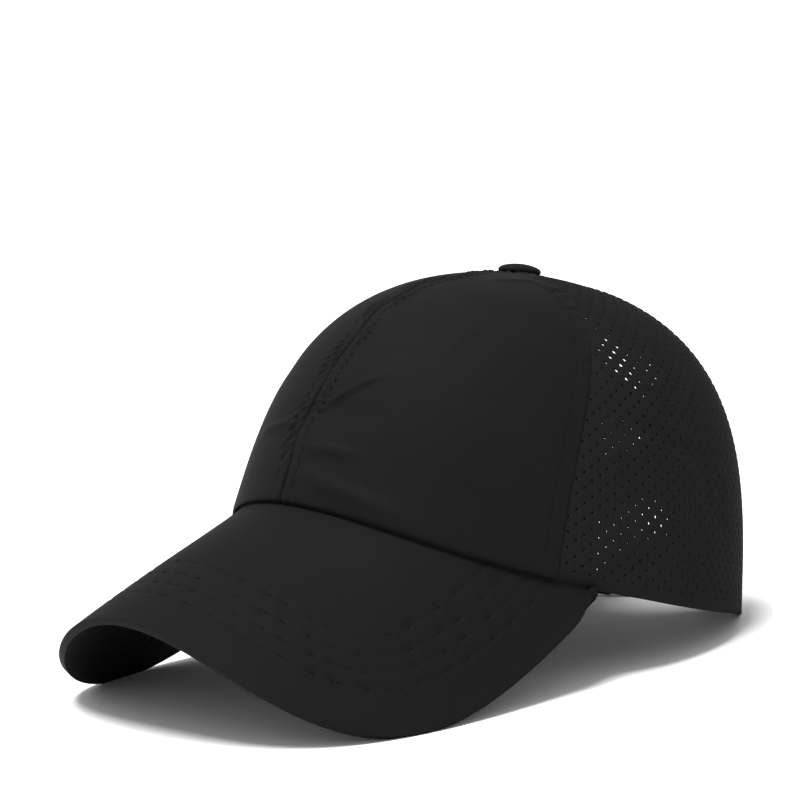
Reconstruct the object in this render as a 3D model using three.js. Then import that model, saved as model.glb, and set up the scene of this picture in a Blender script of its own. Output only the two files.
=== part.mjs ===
// Ponytail baseball cap: a soft crown of four panels, a curved brim, and a tall opening at the back
// with two crossed straps and a slider closure. Millimetres, +Z up, +X to the wearer's left, -Y forward.
// The cap rests as it would by itself, on the two low sides of its brim and on its closure strap.
import * as THREE from 'three';
import { mergeVertices } from 'three/addons/utils/BufferGeometryUtils.js';

const { lerp, smoothstep, degToRad } = THREE.MathUtils;

// Crown
const crownLength = 196;
const crownWidth = 160;
const crownHeight = 105.9;
const panelWall = 1.4;
const crownRows = 12;
const rimDensity = 1.3;
const archHeight = 12.8;
const archReach = degToRad(92.8);
const archSharpness = 2.97;
const sideRoundness = 2.285;
const frontRoundness = 1.865;
const profileRoundness = 2.675;
const waistShare = 0.039;
const topSetBack = 1.4;
const seamGap = 0.3;
const sideSeamAtRim = degToRad(67.7);
const sideSeamAtTop = degToRad(75.5);
const sideSeamLean = 4;
const frontColumns = 14;

// Button on top, in the hole where the panels meet
const buttonDiameter = 15;
const buttonHeight = 4.6;
const buttonSetForward = 8;
const shankDiameter = 6;
const shankClearance = 0.4;
const seatGap = 0.35;
const buttonLip = 0.6;
const buttonEdge = 0.5;
const buttonShoulder = 0.35;
const buttonSides = 16;
const buttonDomeSteps = 4;

// Holes through the back panels
const holeDiameter = 3.2;
const holeColumns = 11;
const holeSides = 8;
const holePhase = Math.PI + Math.PI / holeSides;

// Ponytail opening and the binding along its edge
const openingHalfWidth = 39.5;
const openingTop = 0.893;
const openingShoulder = 1.8;
const openingPoint = 0.72;
const bindingWidth = 9;
const bindingNarrowing = 0.6;
const bindingNarrowFrom = 0.1;
const bindingColumns = 4;
const bindingWall = 2;
const bindingProud = 0.3;

// Crossed straps
const strapWall = 1;
const strapGap = 0.3;
const strapTuck = 6;
const strapSag = 4;
const strapEase = 1.3;
const strapSlack = 0.4;
const strapColumns = 14;
const strapRows = 2;

// Closure: strap, slider buckle and the short tab that holds the buckle
const closureBottom = 2;
const closureHeight = 13;
const closureWall = 1.2;
const closureBow = 6.5;
const closureTuck = 7;
const tailLength = 56;
const foldTaper = 9;
const runStep = 7;
const turnSteps = 6;
const buckleLength = 15;
const buckleBar = 1.5;
const buckleWall = 1.8;
const buckleCorner = 2.4;
const buckleTuck = 2.5;
const buckleCornerSteps = 3;
const slotClearance = 0.45;
const slotCorner = 0.6;
const buckleRise = 0.25;

// Brim
const brimCorner = degToRad(79.4);
const brimReach = 138.4;
const brimWall = 2.8;
const brimCrown = 1.6;
const brimSeat = 0.3;
const brimInset = 0.2;
const brimFrontDrop = 33;
const brimSideDrop = 118.7;
const brimSideEase = 51.6;
const brimFlare = 0.766;
const brimFlareEase = 0.138;
const brimRounding = 0.206;
const brimRoundingEase = 0.042;
const cornerStep = 2.2;
const brimColumns = 26;
const brimRows = 6;

// How far the soft edges settle into flats where the cap rests
const settle = 0.7;
const steepestTilt = degToRad(60);
const tiltSteps = 50;
const edgeSamples = 60;

// Soft folds in the crown: angle from the front, climb from rim to button and turn from level, in degrees,
// and the length, width and depth of each as shares of the crown's length.
const folds = [
  { angle: 24, climb: 0.36, turn: 12, length: 0.1, width: 0.03, depth: 0.0055 },
  { angle: 6, climb: 0.16, turn: 8, length: 0.085, width: 0.025, depth: 0.005 },
  { angle: 46, climb: 0.56, turn: -38, length: 0.1, width: 0.035, depth: 0.005 },
  { angle: -34, climb: 0.3, turn: -20, length: 0.1, width: 0.03, depth: 0.005 },
  { angle: 94, climb: 0.3, turn: -28, length: 0.085, width: 0.0275, depth: 0.005 },
  { angle: 112, climb: 0.17, turn: -60, length: 0.07, width: 0.025, depth: 0.0055 },
  { angle: -100, climb: 0.28, turn: 30, length: 0.085, width: 0.0275, depth: 0.005 },
];

// Where the crossed straps leave the opening's edges, as climbs from rim to button.
const strapEnds = {
  high: { top: 0.57, bottom: 0.43 },
  low: { top: 0.212, bottom: 0.09 },
};

const halfLength = crownLength / 2;
const halfWidth = crownWidth / 2;
const shankHole = shankDiameter / 2 + shankClearance;
const bindingInner = bindingProud - bindingWall;
const strapOuter = bindingInner - strapGap;
const closureFace = strapOuter - closureWall / 2;

const blackCloth = { color: 0x262627, roughness: 0.82, metalness: 0 };
const blackWebbing = { color: 0x1f1f20, roughness: 0.86, metalness: 0 };
const blackPlastic = { color: 0x141415, roughness: 0.42, metalness: 0 };

// A curve from 0 through 1 in the middle and back to 0.
function hump(share) {
  return 4 * share * (1 - share);
}

// Roundness of the crown's plan and profile at a heading: the forehead is fuller than the sides and back.
function roundness(heading) {
  return lerp(sideRoundness, frontRoundness, Math.max(Math.cos(heading), 0) ** 2);
}

// Height of the rim above its lowest stretch, arched over the forehead.
function rimArch(heading) {
  const turn = Math.abs(Math.atan2(Math.sin(heading), Math.cos(heading)));
  return archHeight * Math.cos(Math.min(turn / archReach, 1) * Math.PI / 2) ** archSharpness;
}

// Distance from the button, as a share of the rim's, at a climb from 0 at the rim to 1 at the shank's hole.
function planShare(angle, climb) {
  const top = shankHole / Math.hypot(halfLength * Math.cos(angle), halfWidth * Math.sin(angle));
  const power = roundness(angle) / 2;
  return Math.cos(Math.acos(top ** power) * climb) ** (1 / power);
}

// A point of the crown's smooth outer face.
function crownFace(angle, climb) {
  const share = planShare(angle, climb);
  const forward = share * Math.cos(angle) + (buttonSetForward / halfLength) * (1 - share ** 2) ** 2;
  const left = share * Math.sin(angle);
  const heading = Math.atan2(left, forward);
  const radius = Math.min(Math.hypot(left, forward), 1);
  const rise = (1 - radius ** roundness(heading)) ** (1 / profileRoundness);
  const reach = radius * (1 - waistShare * hump(rise));
  return new THREE.Vector3(
    halfWidth * Math.sin(heading) * reach,
    topSetBack * rise - halfLength * Math.cos(heading) * reach,
    crownHeight * rise + rimArch(heading) * (1 - rise),
  );
}

// The outward direction of the crown's face.
function crownNormal(angle, climb) {
  const step = 1e-3;
  const low = Math.max(climb - step, 0);
  const high = Math.min(climb + step, 1);
  const across = crownFace(angle + step, climb).sub(crownFace(angle - step, climb));
  const up = crownFace(angle, high).sub(crownFace(angle, low));
  return across.cross(up).normalize();
}

// Depth of the soft folds at a point of the crown.
function foldDepth(angle, climb) {
  const meridian = halfLength * Math.PI / 2;
  let depth = 0;
  for (const fold of folds) {
    const turn = degToRad(fold.turn);
    const across = (angle - degToRad(fold.angle)) * halfWidth * planShare(angle, climb);
    const up = (climb - fold.climb) * meridian;
    const along = (across * Math.cos(turn) + up * Math.sin(turn)) / (fold.length * crownLength);
    const beside = (up * Math.cos(turn) - across * Math.sin(turn)) / (fold.width * crownLength);
    depth += fold.depth * crownLength * Math.exp(-(along ** 2) - beside ** 2);
  }
  return depth;
}

// A point at a lift above the crown's face, folds included.
function crownPoint(angle, climb, lift) {
  const height = lift - foldDepth(angle, climb);
  return crownFace(angle, climb).addScaledVector(crownNormal(angle, climb), height);
}

// The angle that an arc of the given length takes at a climb.
function arcAngle(length, climb) {
  return length / (halfWidth * planShare(Math.PI / 2, climb));
}

// The side seam leans forward towards the rim.
function sideSeam(climb) {
  const share = Math.cos(climb * Math.PI / 2) ** sideSeamLean;
  return lerp(sideSeamAtTop, sideSeamAtRim, share);
}

// Half the opening's width along the crown: a tall pointed arch, closed above its top.
function openingReach(climb) {
  const share = Math.min(climb / openingTop, 1);
  return openingHalfWidth * (1 - share ** openingShoulder) ** openingPoint;
}

// How far from the back seam the binding ends: it narrows above the opening.
function bindingReach(climb) {
  const narrowing = bindingNarrowing * smoothstep(climb, openingTop - bindingNarrowFrom, 1);
  return openingReach(climb) + bindingWidth * (1 - narrowing);
}

function addTriangle(list, a, b, c) {
  list.push(a.x, a.y, a.z, b.x, b.y, b.z, c.x, c.y, c.z);
}

function weldGeometry(geometry) {
  geometry.deleteAttribute('normal');
  geometry.deleteAttribute('uv');
  return mergeVertices(geometry, 1e-4);
}

function weldTriangles(list) {
  const geometry = new THREE.BufferGeometry();
  geometry.setAttribute('position', new THREE.Float32BufferAttribute(list, 3));
  return weldGeometry(geometry);
}

// The eight points of a hole in the middle of a sheet's cell, in the cell's own shares.
function holePoints(column, row, columns, rows, place) {
  const centre = place((column + 0.5) / columns, (row + 0.5) / rows);
  const beside = place((column + 1) / columns, (row + 0.5) / rows);
  const above = place((column + 0.5) / columns, (row + 1) / rows);
  const width = 2 * centre.distanceTo(beside);
  const height = 2 * centre.distanceTo(above);
  if (Math.min(width, height) < 2 * holeDiameter) {
    return null;
  }
  const points = [];
  for (let side = 0; side < holeSides; side += 1) {
    const turn = holePhase + (side / holeSides) * 2 * Math.PI;
    points.push({
      u: (column + 0.5 + (holeDiameter / 2 / width) * Math.cos(turn)) / columns,
      v: (row + 0.5 + (holeDiameter / 2 / height) * Math.sin(turn)) / rows,
    });
  }
  return points;
}

// A closed sheet with an outer and an inner face. point(u, v, outer) gives both faces over u and v from 0
// to 1, u to the wearer's left at the front and v upwards. A pierced cell gets a hole through both faces.
function closedSheet(columns, rows, point, pierced = () => false) {
  const list = [];
  const wall = (a, b) => {
    const outerA = point(a.u, a.v, true);
    const innerB = point(b.u, b.v, false);
    addTriangle(list, outerA, point(a.u, a.v, false), innerB);
    addTriangle(list, outerA, innerB, point(b.u, b.v, true));
  };
  const face = (a, b, c) => {
    addTriangle(list, point(a.u, a.v, true), point(b.u, b.v, true), point(c.u, c.v, true));
    addTriangle(list, point(a.u, a.v, false), point(c.u, c.v, false), point(b.u, b.v, false));
  };
  const grid = (column, row) => ({ u: column / columns, v: row / rows });
  for (let row = 0; row < rows; row += 1) {
    for (let column = 0; column < columns; column += 1) {
      const corners = [
        grid(column, row),
        grid(column + 1, row),
        grid(column + 1, row + 1),
        grid(column, row + 1),
      ];
      const place = (u, v) => point(u, v, true);
      const hole = pierced(column, row) ? holePoints(column, row, columns, rows, place) : null;
      if (hole === null) {
        face(corners[0], corners[1], corners[2]);
        face(corners[0], corners[2], corners[3]);
        continue;
      }
      corners.forEach((corner, index) => {
        const next = hole[(2 * index + 2) % holeSides];
        face(corner, hole[2 * index + 1], hole[2 * index]);
        face(corner, corners[(index + 1) % 4], next);
        face(corner, next, hole[2 * index + 1]);
      });
      hole.forEach((from, index) => wall(hole[(index + 1) % holeSides], from));
    }
  }
  for (let column = 0; column < columns; column += 1) {
    wall(grid(column, 0), grid(column + 1, 0));
    wall(grid(column + 1, rows), grid(column, rows));
  }
  for (let row = 0; row < rows; row += 1) {
    wall(grid(columns, row), grid(columns, row + 1));
    wall(grid(0, row + 1), grid(0, row));
  }
  return weldTriangles(list);
}

// Turns a piece of the wearer's left side into its twin on the right.
function mirrored(angles) {
  return (climb) => {
    const [from, to] = angles(climb);
    return [-to, -from];
  };
}

// A sheet of the crown between two angles that change with the climb.
function crownSheet(columns, rows, angles, outerLift, innerLift, pierced) {
  const point = (u, v, outer) => {
    const climb = v ** rimDensity;
    const [from, to] = angles(climb);
    return crownPoint(lerp(from, to, u), climb, outer ? outerLift : innerLift);
  };
  return closedSheet(columns, rows, point, pierced);
}

function frontPanelAngles(climb) {
  const gap = arcAngle(seamGap / 2, climb);
  return [gap, sideSeam(climb) - gap];
}

function backPanelAngles(climb) {
  const gap = arcAngle(seamGap / 2, climb);
  return [sideSeam(climb) + gap, Math.PI - arcAngle(bindingReach(climb), climb) - gap];
}

function bindingAngles(climb) {
  const gap = arcAngle(seamGap / 2, climb);
  return [
    Math.PI - arcAngle(bindingReach(climb), climb) + gap,
    Math.PI - arcAngle(openingReach(climb), climb) - gap,
  ];
}

function frontPanel(angles) {
  return crownSheet(frontColumns, crownRows, angles, 0, -panelWall);
}

// Every second cell is pierced, which gives the holes their staggered rows. The hem and the edges stay whole.
function backPanel(angles) {
  const pierced = (column, row) => row > 0 && (column + row) % 2 === 0;
  return crownSheet(holeColumns, crownRows, angles, 0, -panelWall, pierced);
}

function binding(angles) {
  return crownSheet(bindingColumns, crownRows, angles, bindingProud, bindingInner);
}

// A crossed strap runs from the high end on one side to the low end on the other, tucked behind both bindings.
function crossStrap(side, depth) {
  const point = (u, v, outer) => {
    const fall = 1 - (1 - u) ** strapEase;
    const top = lerp(strapEnds.high.top, strapEnds.low.top, fall);
    const bottom = lerp(strapEnds.high.bottom, strapEnds.low.bottom, fall);
    const climb = lerp(bottom, top, v);
    const from = openingReach(lerp(strapEnds.high.bottom, strapEnds.high.top, v)) + strapTuck;
    const to = -openingReach(lerp(strapEnds.low.bottom, strapEnds.low.top, v)) - strapTuck;
    const arc = side * lerp(from, to, u);
    const bow = Math.max(1 - (arc / openingReach(climb)) ** 2, 0);
    const lift = strapOuter - (strapSag + depth) * bow - (outer ? 0 : strapWall);
    return crownPoint(Math.PI - arcAngle(arc, climb), climb, lift);
  };
  const ordered = side > 0 ? point : (u, v, outer) => point(1 - u, v, outer);
  return closedSheet(strapColumns, strapRows, ordered);
}

// A point near the back of the rim: arc from the back seam towards the wearer's left, lift above the
// crown's face and height above the rim. Below the rim the wall runs straight down.
function rimPoint(arc, lift, height) {
  const rise = Math.max(height, 0) / crownHeight;
  const radius = (1 - rise ** profileRoundness) ** (1 / sideRoundness);
  const reach = radius * (1 - waistShare * hump(rise));
  const heading = Math.PI - arc / halfWidth;
  const across = Math.sin(heading) * (halfWidth * reach + lift);
  const back = -Math.cos(heading) * (halfLength * reach + lift);
  return new THREE.Vector3(across, back + topSetBack * rise, height);
}

// The closure is drawn tighter than the rim's curve, so its pieces lie further in towards the middle.
function closurePoint(arc, lift, height) {
  const bow = closureBow * Math.max(1 - (arc / openingHalfWidth) ** 2, 0);
  return rimPoint(arc, lift - bow, height);
}

// A cloth strip standing on edge, folded along a centre line of arcs and lifts.
function foldedStrip(line) {
  const last = line.length - 1;
  const top = closureBottom + closureHeight;
  const point = (u, v, outer) => {
    const index = Math.round(u * last);
    const side = line[Math.min(index + 1, last)].clone().sub(line[Math.max(index - 1, 0)]);
    side.normalize().multiplyScalar(outer ? closureWall / 2 : -closureWall / 2);
    return closurePoint(line[index].x + side.y, line[index].y - side.x, lerp(closureBottom, top, v));
  };
  return closedSheet(last, 1, point);
}

// Where the buckle lies: its far end is tucked just behind the binding on the wearer's right.
const buckleMiddle = -(openingHalfWidth + buckleTuck - buckleLength / 2);
const buckleHeight = closureHeight + 2 * slotClearance + 2 * buckleBar;
const buckleLevel = closureBottom + closureHeight / 2 + buckleRise;
const barRing = Math.hypot(buckleBar, buckleWall) / 2 + seatGap + closureWall / 2;
const buckleLift = closureFace - barRing;
const tailLift = closureFace - closureWall - seatGap;

// Half a turn of cloth around a bar of the buckle, from its outer side to its inner side.
function barTurn(centre, direction) {
  const points = [];
  for (let step = 0; step <= turnSteps; step += 1) {
    const turn = (step / turnSteps) * Math.PI;
    points.push(new THREE.Vector2(
      centre + direction * barRing * Math.sin(turn),
      buckleLift + barRing * Math.cos(turn),
    ));
  }
  return points;
}

// A level run of the centre line, in steps short enough to follow the rim.
function levelRun(from, to, lift) {
  const steps = Math.max(Math.ceil(Math.abs(to - from) / runStep), 1);
  return Array.from({ length: steps + 1 }, (_, step) => (
    new THREE.Vector2(lerp(from, to, step / steps), lift)
  ));
}

// The strap comes from behind the left binding, turns round the buckle's near bar and runs back inside.
function closureStrap() {
  const bar = buckleMiddle + (buckleLength - buckleBar) / 2;
  const line = [
    ...levelRun(openingHalfWidth + closureTuck, bar + 1, closureFace),
    ...barTurn(bar, -1),
    ...levelRun(bar + foldTaper, bar + tailLength, tailLift),
  ];
  return foldedStrip(line);
}

// The tab comes from behind the right binding, turns round the buckle's far bar and runs back inside.
function buckleTab() {
  const bar = buckleMiddle - (buckleLength - buckleBar) / 2;
  const end = -openingHalfWidth - closureTuck;
  const line = [
    ...levelRun(end, bar - 1, closureFace),
    ...barTurn(bar, 1),
    ...levelRun(bar - foldTaper, end, tailLift),
  ];
  return foldedStrip(line);
}

function roundedRectangle(target, width, height, radius) {
  const x = width / 2 - radius;
  const y = height / 2 - radius;
  target.absarc(x, -y, radius, -Math.PI / 2, 0);
  target.absarc(x, y, radius, 0, Math.PI / 2);
  target.absarc(-x, y, radius, Math.PI / 2, Math.PI);
  target.absarc(-x, -y, radius, Math.PI, 1.5 * Math.PI);
  return target;
}

// The slider buckle: a moulded loop, curved to the rim.
function buckleGeometry() {
  const slotLength = buckleLength - 2 * buckleBar;
  const slotHeight = buckleHeight - 2 * buckleBar;
  const shape = roundedRectangle(new THREE.Shape(), buckleLength, buckleHeight, buckleCorner);
  const slot = roundedRectangle(new THREE.Path(), slotLength, slotHeight, slotCorner);
  shape.holes.push(slot);
  const geometry = new THREE.ExtrudeGeometry(shape, {
    depth: buckleWall, steps: 1, curveSegments: buckleCornerSteps, bevelEnabled: false,
  });
  geometry.translate(0, 0, -buckleWall / 2);
  geometry.rotateX(Math.PI / 2);
  geometry.translate(buckleMiddle, buckleLift, buckleLevel);
  const position = geometry.getAttribute('position');
  for (let index = 0; index < position.count; index += 1) {
    const { x, y, z } = closurePoint(position.getX(index), position.getY(index), position.getZ(index));
    position.setXYZ(index, x, y, z);
  }
  return weldGeometry(geometry);
}

// The brim's outer edge, from the right corner at -1 to the left corner at 1.
function brimEdge(share) {
  const turn = share * Math.PI / 2;
  const corner = crownPoint(brimCorner, 0, cornerStep);
  const side = Math.sin(turn) ** 2;
  const front = Math.cos(turn);
  const flare = 1 + brimFlare * front ** 2 - brimFlareEase * front ** 4;
  const reach = brimReach * front * (1 - brimRounding * side - brimRoundingEase * side ** 2);
  const drop = brimFrontDrop + brimSideDrop * side - brimSideEase * side ** 2;
  return new THREE.Vector3(corner.x * Math.sin(turn) * flare, corner.y - reach, corner.z - drop * front);
}

// The brim's inner edge lies just below the crown's rim.
function brimRoot(share) {
  const root = crownPoint(share * brimCorner, 0, -panelWall - brimInset);
  root.z -= brimSeat;
  return root;
}

// A point of the brim's upper face: across from the right corner to the left, out from the rim to the edge.
function brimFace(across, out) {
  const span = brimRoot(across).lerp(brimEdge(across), out);
  const crown = brimCrown * hump(out) * (1 - across ** 2);
  span.z += crown;
  return span;
}

function brimPoint(across, out, depth) {
  const step = 1e-3;
  const face = brimFace(across, out);
  const left = brimFace(across + step, out).sub(brimFace(across - step, out));
  const outward = brimFace(across, out + step).sub(brimFace(across, out - step));
  const down = left.cross(outward).normalize();
  return face.addScaledVector(down, depth);
}

function brimGeometry() {
  const point = (u, v, outer) => brimPoint(lerp(-1, 1, u), 1 - v, outer ? 0 : brimWall);
  return closedSheet(brimColumns, brimRows, point);
}

function buttonGeometry() {
  const radius = buttonDiameter / 2;
  const rim = buttonShoulder * buttonHeight;
  const profile = [
    new THREE.Vector2(0, -panelWall),
    new THREE.Vector2(shankDiameter / 2, -panelWall),
    new THREE.Vector2(shankDiameter / 2, seatGap),
    new THREE.Vector2(radius - buttonLip, seatGap),
    new THREE.Vector2(radius, seatGap + buttonEdge),
  ];
  for (let step = 0; step <= buttonDomeSteps; step += 1) {
    const turn = (step / buttonDomeSteps) * Math.PI / 2;
    profile.push(new THREE.Vector2(radius * Math.cos(turn), rim + (buttonHeight - rim) * Math.sin(turn)));
  }
  profile[profile.length - 1].x = 0;
  return weldGeometry(new THREE.LatheGeometry(profile, buttonSides));
}

// The button stands square to the crown where the panels meet.
function placeButton(mesh) {
  const front = crownFace(0, 1);
  const back = crownFace(Math.PI, 1);
  mesh.position.copy(front).add(back).multiplyScalar(0.5);
  const slope = front.sub(back).normalize();
  const normal = new THREE.Vector3(1, 0, 0).cross(slope).negate();
  mesh.quaternion.setFromUnitVectors(new THREE.Vector3(0, 1, 0), normal);
  return mesh;
}

// The lowest points that the cap can rest on: the brim's edge, the cloth at the back and the buckle.
function lowPoints() {
  const brim = [];
  for (let step = 0; step <= edgeSamples; step += 1) {
    brim.push(brimPoint(step / edgeSamples, 1, 0), brimPoint(step / edgeSamples, 1, brimWall));
  }
  const back = [
    rimPoint(openingHalfWidth, bindingProud, 0),
    closurePoint(0, closureFace + closureWall / 2, closureBottom),
  ];
  const buckle = closurePoint(
    buckleMiddle + buckleLength / 2 - buckleCorner,
    buckleLift + buckleWall / 2,
    buckleLevel - buckleHeight / 2,
  );
  return { brim, back, buckle };
}

// The floor under the resting cap, in the cap's own frame. The tilt is the one at which the brim and the
// back touch it together. The soft edges settle a little, but never so far that the hard buckle sinks in.
function floorUnderCap() {
  const { brim, back, buckle } = lowPoints();
  const upAt = (tilt) => new THREE.Vector3(0, -Math.sin(tilt), Math.cos(tilt));
  const lowest = (points, up) => Math.min(...points.map((point) => point.dot(up)));
  let low = 0;
  let high = steepestTilt;
  for (let step = 0; step < tiltSteps; step += 1) {
    const tilt = (low + high) / 2;
    if (lowest([...back, buckle], upAt(tilt)) > lowest(brim, upAt(tilt))) {
      low = tilt;
    } else {
      high = tilt;
    }
  }
  const up = upAt(low);
  return { tilt: low, up, level: Math.min(lowest([...back, ...brim], up) + settle, buckle.dot(up)) };
}

// Flattens the edges that reach below the floor.
function restOn(floor, geometry) {
  const position = geometry.getAttribute('position');
  const point = new THREE.Vector3();
  for (let index = 0; index < position.count; index += 1) {
    point.fromBufferAttribute(position, index);
    point.addScaledVector(floor.up, Math.max(floor.level - point.dot(floor.up), 0));
    position.setXYZ(index, point.x, point.y, point.z);
  }
  return geometry;
}

function makeMesh(name, geometry, finish) {
  geometry.computeVertexNormals();
  const mesh = new THREE.Mesh(geometry, new THREE.MeshStandardMaterial(finish));
  mesh.name = name;
  return mesh;
}

const floor = floorUnderCap();
const secondStrapDepth = strapWall + strapGap + strapSlack;

const cap = new THREE.Group();
cap.add(
  makeMesh('front_panel_left', frontPanel(frontPanelAngles), blackCloth),
  makeMesh('front_panel_right', frontPanel(mirrored(frontPanelAngles)), blackCloth),
  makeMesh('back_panel_left', backPanel(backPanelAngles), blackCloth),
  makeMesh('back_panel_right', backPanel(mirrored(backPanelAngles)), blackCloth),
  makeMesh('opening_binding_left', restOn(floor, binding(bindingAngles)), blackWebbing),
  makeMesh('opening_binding_right', restOn(floor, binding(mirrored(bindingAngles))), blackWebbing),
  makeMesh('cross_strap_outer', crossStrap(1, 0), blackWebbing),
  makeMesh('cross_strap_inner', crossStrap(-1, secondStrapDepth), blackWebbing),
  makeMesh('closure_strap', restOn(floor, closureStrap()), blackWebbing),
  makeMesh('buckle_tab', buckleTab(), blackWebbing),
  makeMesh('slider_buckle', buckleGeometry(), blackPlastic),
  makeMesh('brim', restOn(floor, brimGeometry()), blackCloth),
  placeButton(makeMesh('top_button', buttonGeometry(), blackCloth)),
);
cap.rotation.x = -floor.tilt;

// The cap stands on the floor with its bounding box centred over the origin.
const model = new THREE.Group();
model.add(cap);
model.updateMatrixWorld(true);
const box = new THREE.Box3().setFromObject(model, true);
cap.position.set(-(box.min.x + box.max.x) / 2, -(box.min.y + box.max.y) / 2, -box.min.z);

export default model;
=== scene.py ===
"""Ponytail baseball cap: its fine cloth, stitching and finishes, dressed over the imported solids.

The cap's own frame is in millimetres, with its origin in the middle of the rim, -Y to the front, +X to the
wearer's left and +Z up. Placing turns that frame into the scene's metres, where the cap lies on the floor.
A place on the crown is an angle from the front and a climb, from 0 at the rim to 1 at the top button.
"""

from __future__ import annotations

import logging
import math
from collections.abc import Callable, Sequence
from dataclasses import dataclass, field
from enum import Enum

import bmesh
import bpy
import numpy as np
from mathutils import Matrix, Vector

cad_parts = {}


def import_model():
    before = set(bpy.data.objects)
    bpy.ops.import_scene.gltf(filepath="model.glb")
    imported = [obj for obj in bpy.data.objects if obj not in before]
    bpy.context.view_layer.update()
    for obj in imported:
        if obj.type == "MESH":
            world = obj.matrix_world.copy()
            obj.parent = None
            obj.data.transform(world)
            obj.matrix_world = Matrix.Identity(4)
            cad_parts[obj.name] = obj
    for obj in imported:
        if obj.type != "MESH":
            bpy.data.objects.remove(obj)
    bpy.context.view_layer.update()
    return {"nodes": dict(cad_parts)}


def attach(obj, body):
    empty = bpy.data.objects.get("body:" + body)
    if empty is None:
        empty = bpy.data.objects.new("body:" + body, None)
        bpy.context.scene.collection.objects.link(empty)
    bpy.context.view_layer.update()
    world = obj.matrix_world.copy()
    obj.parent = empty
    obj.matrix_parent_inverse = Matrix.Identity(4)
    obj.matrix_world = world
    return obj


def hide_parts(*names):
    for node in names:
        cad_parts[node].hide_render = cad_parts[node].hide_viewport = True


LOG = logging.getLogger("ponytail_cap")

MM = 0.001
PHOTO_PIXELS = 800

Array = np.ndarray
Socket = bpy.types.NodeSocket


class Side(Enum):
    """A side of the cap, as its wearer has it."""

    LEFT = 1
    RIGHT = -1


class Weave(Enum):
    """How a cloth's threads run."""

    PLAIN = "plain"
    TWILL = "twill"
    RIBBED = "ribbed"


def smooth(low: float, high: float, value: Array) -> Array:
    """Rises smoothly from 0 at low to 1 at high."""
    share = np.clip((value - low) / (high - low), 0.0, 1.0)
    return share * share * (3.0 - 2.0 * share)


def hump(share: Array) -> Array:
    """A curve from 0 through 1 in the middle and back to 0."""
    return 4.0 * share * (1.0 - share)


def blend(low: Array, high: Array, share: Array) -> Array:
    """The value that lies a share of the way from low to high."""
    return low + (high - low) * share


def ripple(value: Array, period: float, phase: float = 0.0) -> Array:
    """A wave from -1 to 1 with the given period."""
    return np.sin(2.0 * math.pi * value / period + phase)


# Finishes


def linear(colour: str) -> tuple[float, float, float, float]:
    """Turns an sRGB hex colour into linear values.

    Args:
        colour: the colour as "#rrggbb".

    Returns:
        Linear red, green and blue, and an alpha of 1.
    """
    shares = [int(colour[start:start + 2], 16) / 255.0 for start in (1, 3, 5)]
    values = [s / 12.92 if s <= 0.04045 else ((s + 0.055) / 1.055) ** 2.4 for s in shares]
    return (values[0], values[1], values[2], 1.0)


def add_node(
    tree: bpy.types.NodeTree, kind: str, inputs: dict[str | int, object] | None = None, **settings: object
) -> bpy.types.Node:
    """Adds a node with its settings, values and links.

    Args:
        tree: the material's node tree.
        kind: the node's type, such as "ShaderNodeBump".
        inputs: a value or another node's output for each named or numbered input.
        settings: the node's own properties.

    Returns:
        The new node.
    """
    node = tree.nodes.new(kind)
    for name, value in settings.items():
        setattr(node, name, value)
    for socket, value in (inputs or {}).items():
        if isinstance(value, Socket):
            tree.links.new(value, node.inputs[socket])
        else:
            node.inputs[socket].default_value = value
    return node


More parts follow.
